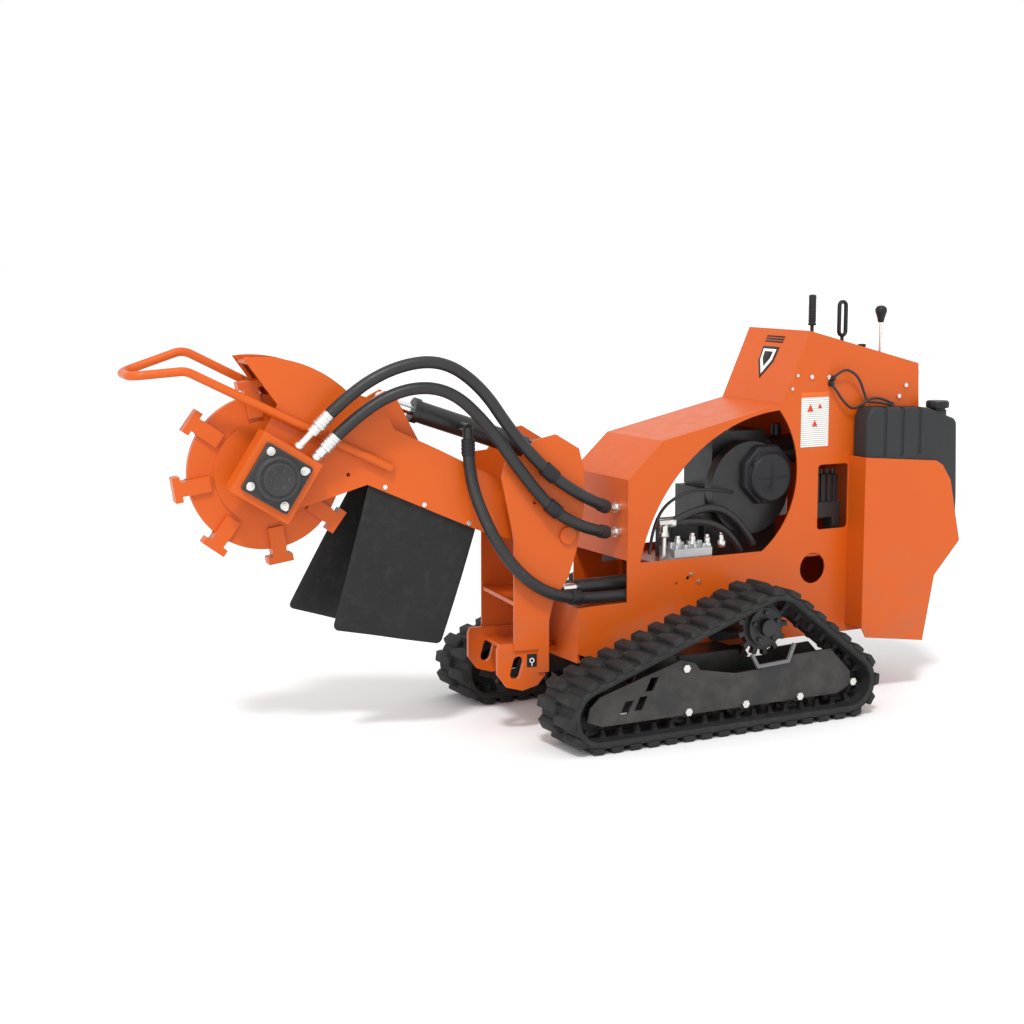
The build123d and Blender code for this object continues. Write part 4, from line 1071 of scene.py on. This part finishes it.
    def throttle(self, y):
        """The throttle's pull knob."""
        low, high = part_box("throttle_knob")
        bm = bmesh.new()
        top = high[2]
        profile = [
            (0.0, low[2] - top), (0.005, low[2] - top), (0.005, -0.012), (0.012, -0.0105), (0.0135, -0.007),
            (0.0135, -0.003), (0.011, -0.0005), (0.0, 0.0),
        ]
        turned(bm, profile, Matrix.Translation((LEVER_X, y, top)), 28)
        plastic = FINISHES["black_plastic"]
        finished("throttle_pull", bm, plastic, "throttle_knob", ["throttle_knob"])


# ------------------------------------------------------------------ labels and small parts
class GRINDER_OT_badges(bpy.types.Operator):
    """Plain shield badge, vent strip and pictogram labels without lettering."""
    bl_idname = "grinder.badges"
    bl_label = "Badge and labels"

    def execute(self, context):
        """Makes the badge, the vent strip and the plain labels."""
        slope = atan2(CONSOLE_FRONT[1] - HOOD_SADDLE[1], CONSOLE_FRONT[0] - HOOD_SADDLE[0])
        front = Matrix.Translation((0.0, 0.4145, 1.069)) @ Matrix.Rotation(slope, 4, "X")
        shield = [(-0.048, 0.082), (0.040, 0.082), (0.036, 0.030), (-0.004, -0.030), (-0.044, 0.030)]
        inner = [(-0.038, 0.073), (0.030, 0.073), (0.027, 0.034), (-0.004, -0.014), (-0.035, 0.034)]
        core = [(-0.026, 0.064), (0.018, 0.064), (0.015, 0.040), (-0.004, 0.012), (-0.023, 0.040)]
        black = FINISHES["black_plastic"]
        white = printed("Plain label film", (0.78, 0.77, 0.74), (0.30, 0.28, 0.27), 48.0)
        clean = moulded("Badge white", (0.80, 0.80, 0.78), 0.3)
        layers = (
            ("badge_rim", shield, 0.0, black), ("badge_field", inner, 0.0012, clean),
            ("badge_core", core, 0.0022, black),
        )
        for name, shape, lift, material in layers:
            bm = bmesh.new()
            plate(bm, shape, 0.0016, front @ Matrix.Translation((0, 0, lift)), 0.0004)
            finished(name, bm, material, "chassis")
        bm = bmesh.new()
        for row in range(3):
            slat = front @ Matrix.Translation((0.0, 0.100 + row * 0.009, 0.0005))
            block(bm, (0.096, 0.005, 0.003), slat, 0.001, 2)
        finished("front_vent", bm, black, "chassis")
        bm = bmesh.new()
        label = [(0.446, 0.828), (0.556, 0.828), (0.556, 0.988), (0.446, 0.988)]
        plate(bm, label, 0.0008, side_place(0, 0, 0.1648), 0.0, 0.003)
        finished("side_label", bm, white, "chassis")
        bm = bmesh.new()
        band = [(0.446, 0.990), (0.556, 0.990), (0.556, 1.004), (0.446, 1.004)]
        plate(bm, band, 0.0008, side_place(0, 0, 0.1648), 0.0)
        finished("side_label_band", bm, moulded("Label orange", (0.70, 0.13, 0.02), 0.35), "chassis")
        bm = bmesh.new()
        for y, z, size in ((0.482, 0.955, 0.013), (0.520, 0.960, 0.009), (0.500, 0.905, 0.011)):
            triangle = [(y - size, z - size), (y + size, z - size), (y, z + size)]
            plate(bm, triangle, 0.0010, side_place(0, 0, 0.165), 0.0002)
        finished("label_signs", bm, moulded("Label red", (0.55, 0.06, 0.03), 0.35), "chassis")
        bm = bmesh.new()
        place = boom_place(-0.080, 0.228, 0.1421)
        plate(bm, [(-0.016, -0.02), (0.016, -0.02), (0.016, 0.02), (-0.016, 0.02)], 0.001, place, 0.0, 0.002)
        finished("tie_down_label", bm, black, "mast")
        bm = bmesh.new()
        ring = [(0.005, 0), (0.008, 0), (0.008, 0.0008), (0.005, 0.0008), (0.005, 0)]
        turned(bm, ring, place @ Matrix.Translation((0, 0, 0.001)), 20)
        block(bm, (0.003, 0.012, 0.0008), place @ Matrix.Translation((0, -0.011, 0.0014)), 0.0002, 1)
        finished("tie_down_sign", bm, clean, "mast")
        return {"FINISHED"}


class GRINDER_OT_console_leads(bpy.types.Operator):
    """Two thin leads looped from the console side to the tank."""
    bl_idname = "grinder.console_leads"
    bl_label = "Console leads"

    def execute(self, context):
        """Makes the looped leads on the console's left side."""
        leads = (
            ("lead_long", (
                (0.168, 0.566, 1.046), (0.186, 0.572, 1.062), (0.190, 0.606, 1.078), (0.188, 0.655, 1.052),
                (0.186, 0.682, 1.000), (0.190, 0.690, 0.966), (0.205, 0.715, 0.968), (0.210, 0.770, 0.957))),
            ("lead_short", (
                (0.168, 0.560, 1.030), (0.184, 0.568, 1.012), (0.186, 0.592, 0.978), (0.184, 0.634, 0.944),
                (0.186, 0.672, 0.956), (0.194, 0.700, 0.978), (0.200, 0.740, 0.980), (0.206, 0.790, 0.958))),
        )
        for name, route in leads:
            line = smooth_line(route)
            piece = tube(name, line, 0.0042, FINISHES["hose_rubber"], 14)
            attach(piece, "chassis")
            tuple(line[0])
            line_length(line)
            [tuple(p) for p in line]
        bm = bmesh.new()
        for y, z in ((0.566, 1.046), (0.560, 1.030)):
            grommet = [(0.0, 0), (0.010, 0), (0.010, 0.005), (0.006, 0.014), (0.0, 0.014)]
            turned(bm, grommet, side_place(y, z, 0.1645), 20)
        for z in (0.962, 0.955):
            turned(bm, dish(0.008, 0.012), Matrix.Translation((0.208, 0.778, z - 0.012)), 20)
        finished("lead_grommets", bm, FINISHES["black_plastic"], "chassis")
        return {"FINISHED"}


# ------------------------------------------------------------------ stage
class GRINDER_OT_stage(bpy.types.Operator):
    """Pale floor, soft key light, fill and sky."""
    bl_idname = "grinder.stage"
    bl_label = "Floor and light"

    def execute(self, context):
        """Makes the pale floor, the studio lights and the world light."""
        settings = context.scene.grinder_stage
        bm = bmesh.new()
        bmesh.ops.create_grid(bm, x_segments=1, y_segments=1, size=400)
        bmesh.ops.translate(bm, vec=(0, 0, -0.0005), verts=bm.verts)
        mesh = bpy.data.meshes.new("studio_floor")
        bm.to_mesh(mesh)
        bm.free()
        floor = bpy.data.objects.new("studio_floor", mesh)
        context.scene.collection.objects.link(floor)
        ground = Finish("Studio floor")
        ground.colour(ground.blended(ground.noise(1.2), (0.84, 0.84, 0.84), (0.86, 0.86, 0.86)))
        ground.shader.inputs["Roughness"].default_value = 1.0
        ground.shader.inputs["Specular IOR Level"].default_value = 0.0
        mesh.materials.append(ground.material)
        sun = bpy.data.lights.new("key_light", "SUN")
        sun.energy = settings.key_power
        sun.angle = radians(9)
        key = bpy.data.objects.new("key_light", sun)
        context.scene.collection.objects.link(key)
        key.rotation_euler = Vector((2.2, -1.5, 3.6)).to_track_quat("Z", "Y").to_euler()
        data = bpy.data.lights.new("fill_light", "AREA")
        data.size = 3.5
        data.energy = settings.fill_power
        lamp = bpy.data.objects.new("fill_light", data)
        context.scene.collection.objects.link(lamp)
        lamp.location = (4.0, -5.0, 2.2)
        lamp.rotation_euler = (Vector((0, -0.2, 0.5)) - lamp.location).to_track_quat("-Z", "Y").to_euler()
        world = bpy.data.worlds.new("Studio")
        world.use_nodes = True
        sky = world.node_tree.nodes["Background"]
        sky.inputs["Color"].default_value = (1.0, 1.0, 1.0, 1.0)
        sky.inputs["Strength"].default_value = settings.sky_strength
        context.scene.world = world
        context.scene.view_settings.view_transform = "Standard"
        return {"FINISHED"}


# ------------------------------------------------------------------ settings and panel
class GrinderPaint(bpy.types.PropertyGroup):
    """Body paint."""

    orange: FloatVectorProperty(
        name="Body colour", description="Colour of the powder coat", subtype="COLOR", size=3, min=0, max=1,
        default=(0.57, 0.09, 0.004))
    gloss: FloatProperty(
        name="Paint roughness", description="Lower is glossier", default=0.36, min=0, max=1, subtype="FACTOR")


class GrinderHoses(bpy.types.PropertyGroup):
    """Hydraulic hoses."""

    diameter: FloatProperty(
        name="Hose diameter", description="Outside diameter of the hydraulic hoses", default=0.036, min=0.01,
        max=0.06, unit="LENGTH")


class GrinderTracks(bpy.types.PropertyGroup):
    """Rubber tracks."""

    pitches: IntProperty(name="Pitches", description="Tread blocks to a row", default=40, min=20, max=60)


class GrinderStage(bpy.types.PropertyGroup):
    """Lights."""

    key_power: FloatProperty(name="Key light", description="Strength of the key light", default=1.7, min=0)
    fill_power: FloatProperty(
        name="Fill light", description="Power of the fill light", default=60, min=0, unit="POWER")
    sky_strength: FloatProperty(
        name="Sky", description="Strength of the surrounding light", default=1.0, min=0)


OPERATORS = (
    GRINDER_OT_camera, GRINDER_OT_finishes, GRINDER_OT_hoses, GRINDER_OT_tracks, GRINDER_OT_cutter_motor,
    GRINDER_OT_chip_mats, GRINDER_OT_fuel_tank, GRINDER_OT_air_cleaner, GRINDER_OT_engine_bay,
    GRINDER_OT_levers, GRINDER_OT_badges, GRINDER_OT_console_leads, GRINDER_OT_stage,
)
SETTINGS = {
    "grinder_paint": GrinderPaint, "grinder_hoses": GrinderHoses, "grinder_tracks": GrinderTracks,
    "grinder_stage": GrinderStage,
}


class GRINDER_PT_panel(bpy.types.Panel):
    """Settings and the pieces' operators."""
    bl_idname = "GRINDER_PT_panel"
    bl_label = "Stump Grinder"
    bl_space_type = "VIEW_3D"
    bl_region_type = "UI"
    bl_category = "Stump Grinder"

    def draw(self, context):
        layout = self.layout
        for name, group in SETTINGS.items():
            box = layout.box()
            for prop in group.__annotations__:
                box.prop(getattr(context.scene, name), prop)
        for operator in OPERATORS:
            layout.operator(operator.bl_idname)


def register():
    """Registers the settings, the operators and the panel."""
    for group in SETTINGS.values():
        bpy.utils.register_class(group)
    for name, group in SETTINGS.items():
        setattr(bpy.types.Scene, name, PointerProperty(type=group))
    for operator in OPERATORS:
        bpy.utils.register_class(operator)
    bpy.utils.register_class(GRINDER_PT_panel)


def unregister():
    """Takes away what register added."""
    bpy.utils.unregister_class(GRINDER_PT_panel)
    for operator in reversed(OPERATORS):
        bpy.utils.unregister_class(operator)
    for name in SETTINGS:
        delattr(bpy.types.Scene, name)
    for group in SETTINGS.values():
        bpy.utils.unregister_class(group)


def main():
    """Builds the visual model in the frame."""
    register()
    bpy.ops.grinder.camera()
    bpy.ops.grinder.finishes()
    bpy.ops.grinder.hoses()
    bpy.ops.grinder.tracks()
    bpy.ops.grinder.cutter_motor()
    bpy.ops.grinder.chip_mats()
    bpy.ops.grinder.fuel_tank()
    bpy.ops.grinder.air_cleaner()
    bpy.ops.grinder.engine_bay()
    bpy.ops.grinder.levers()
    bpy.ops.grinder.badges()
    bpy.ops.grinder.console_leads()
    bpy.ops.grinder.stage()


if __name__ == "__main__":
    main()
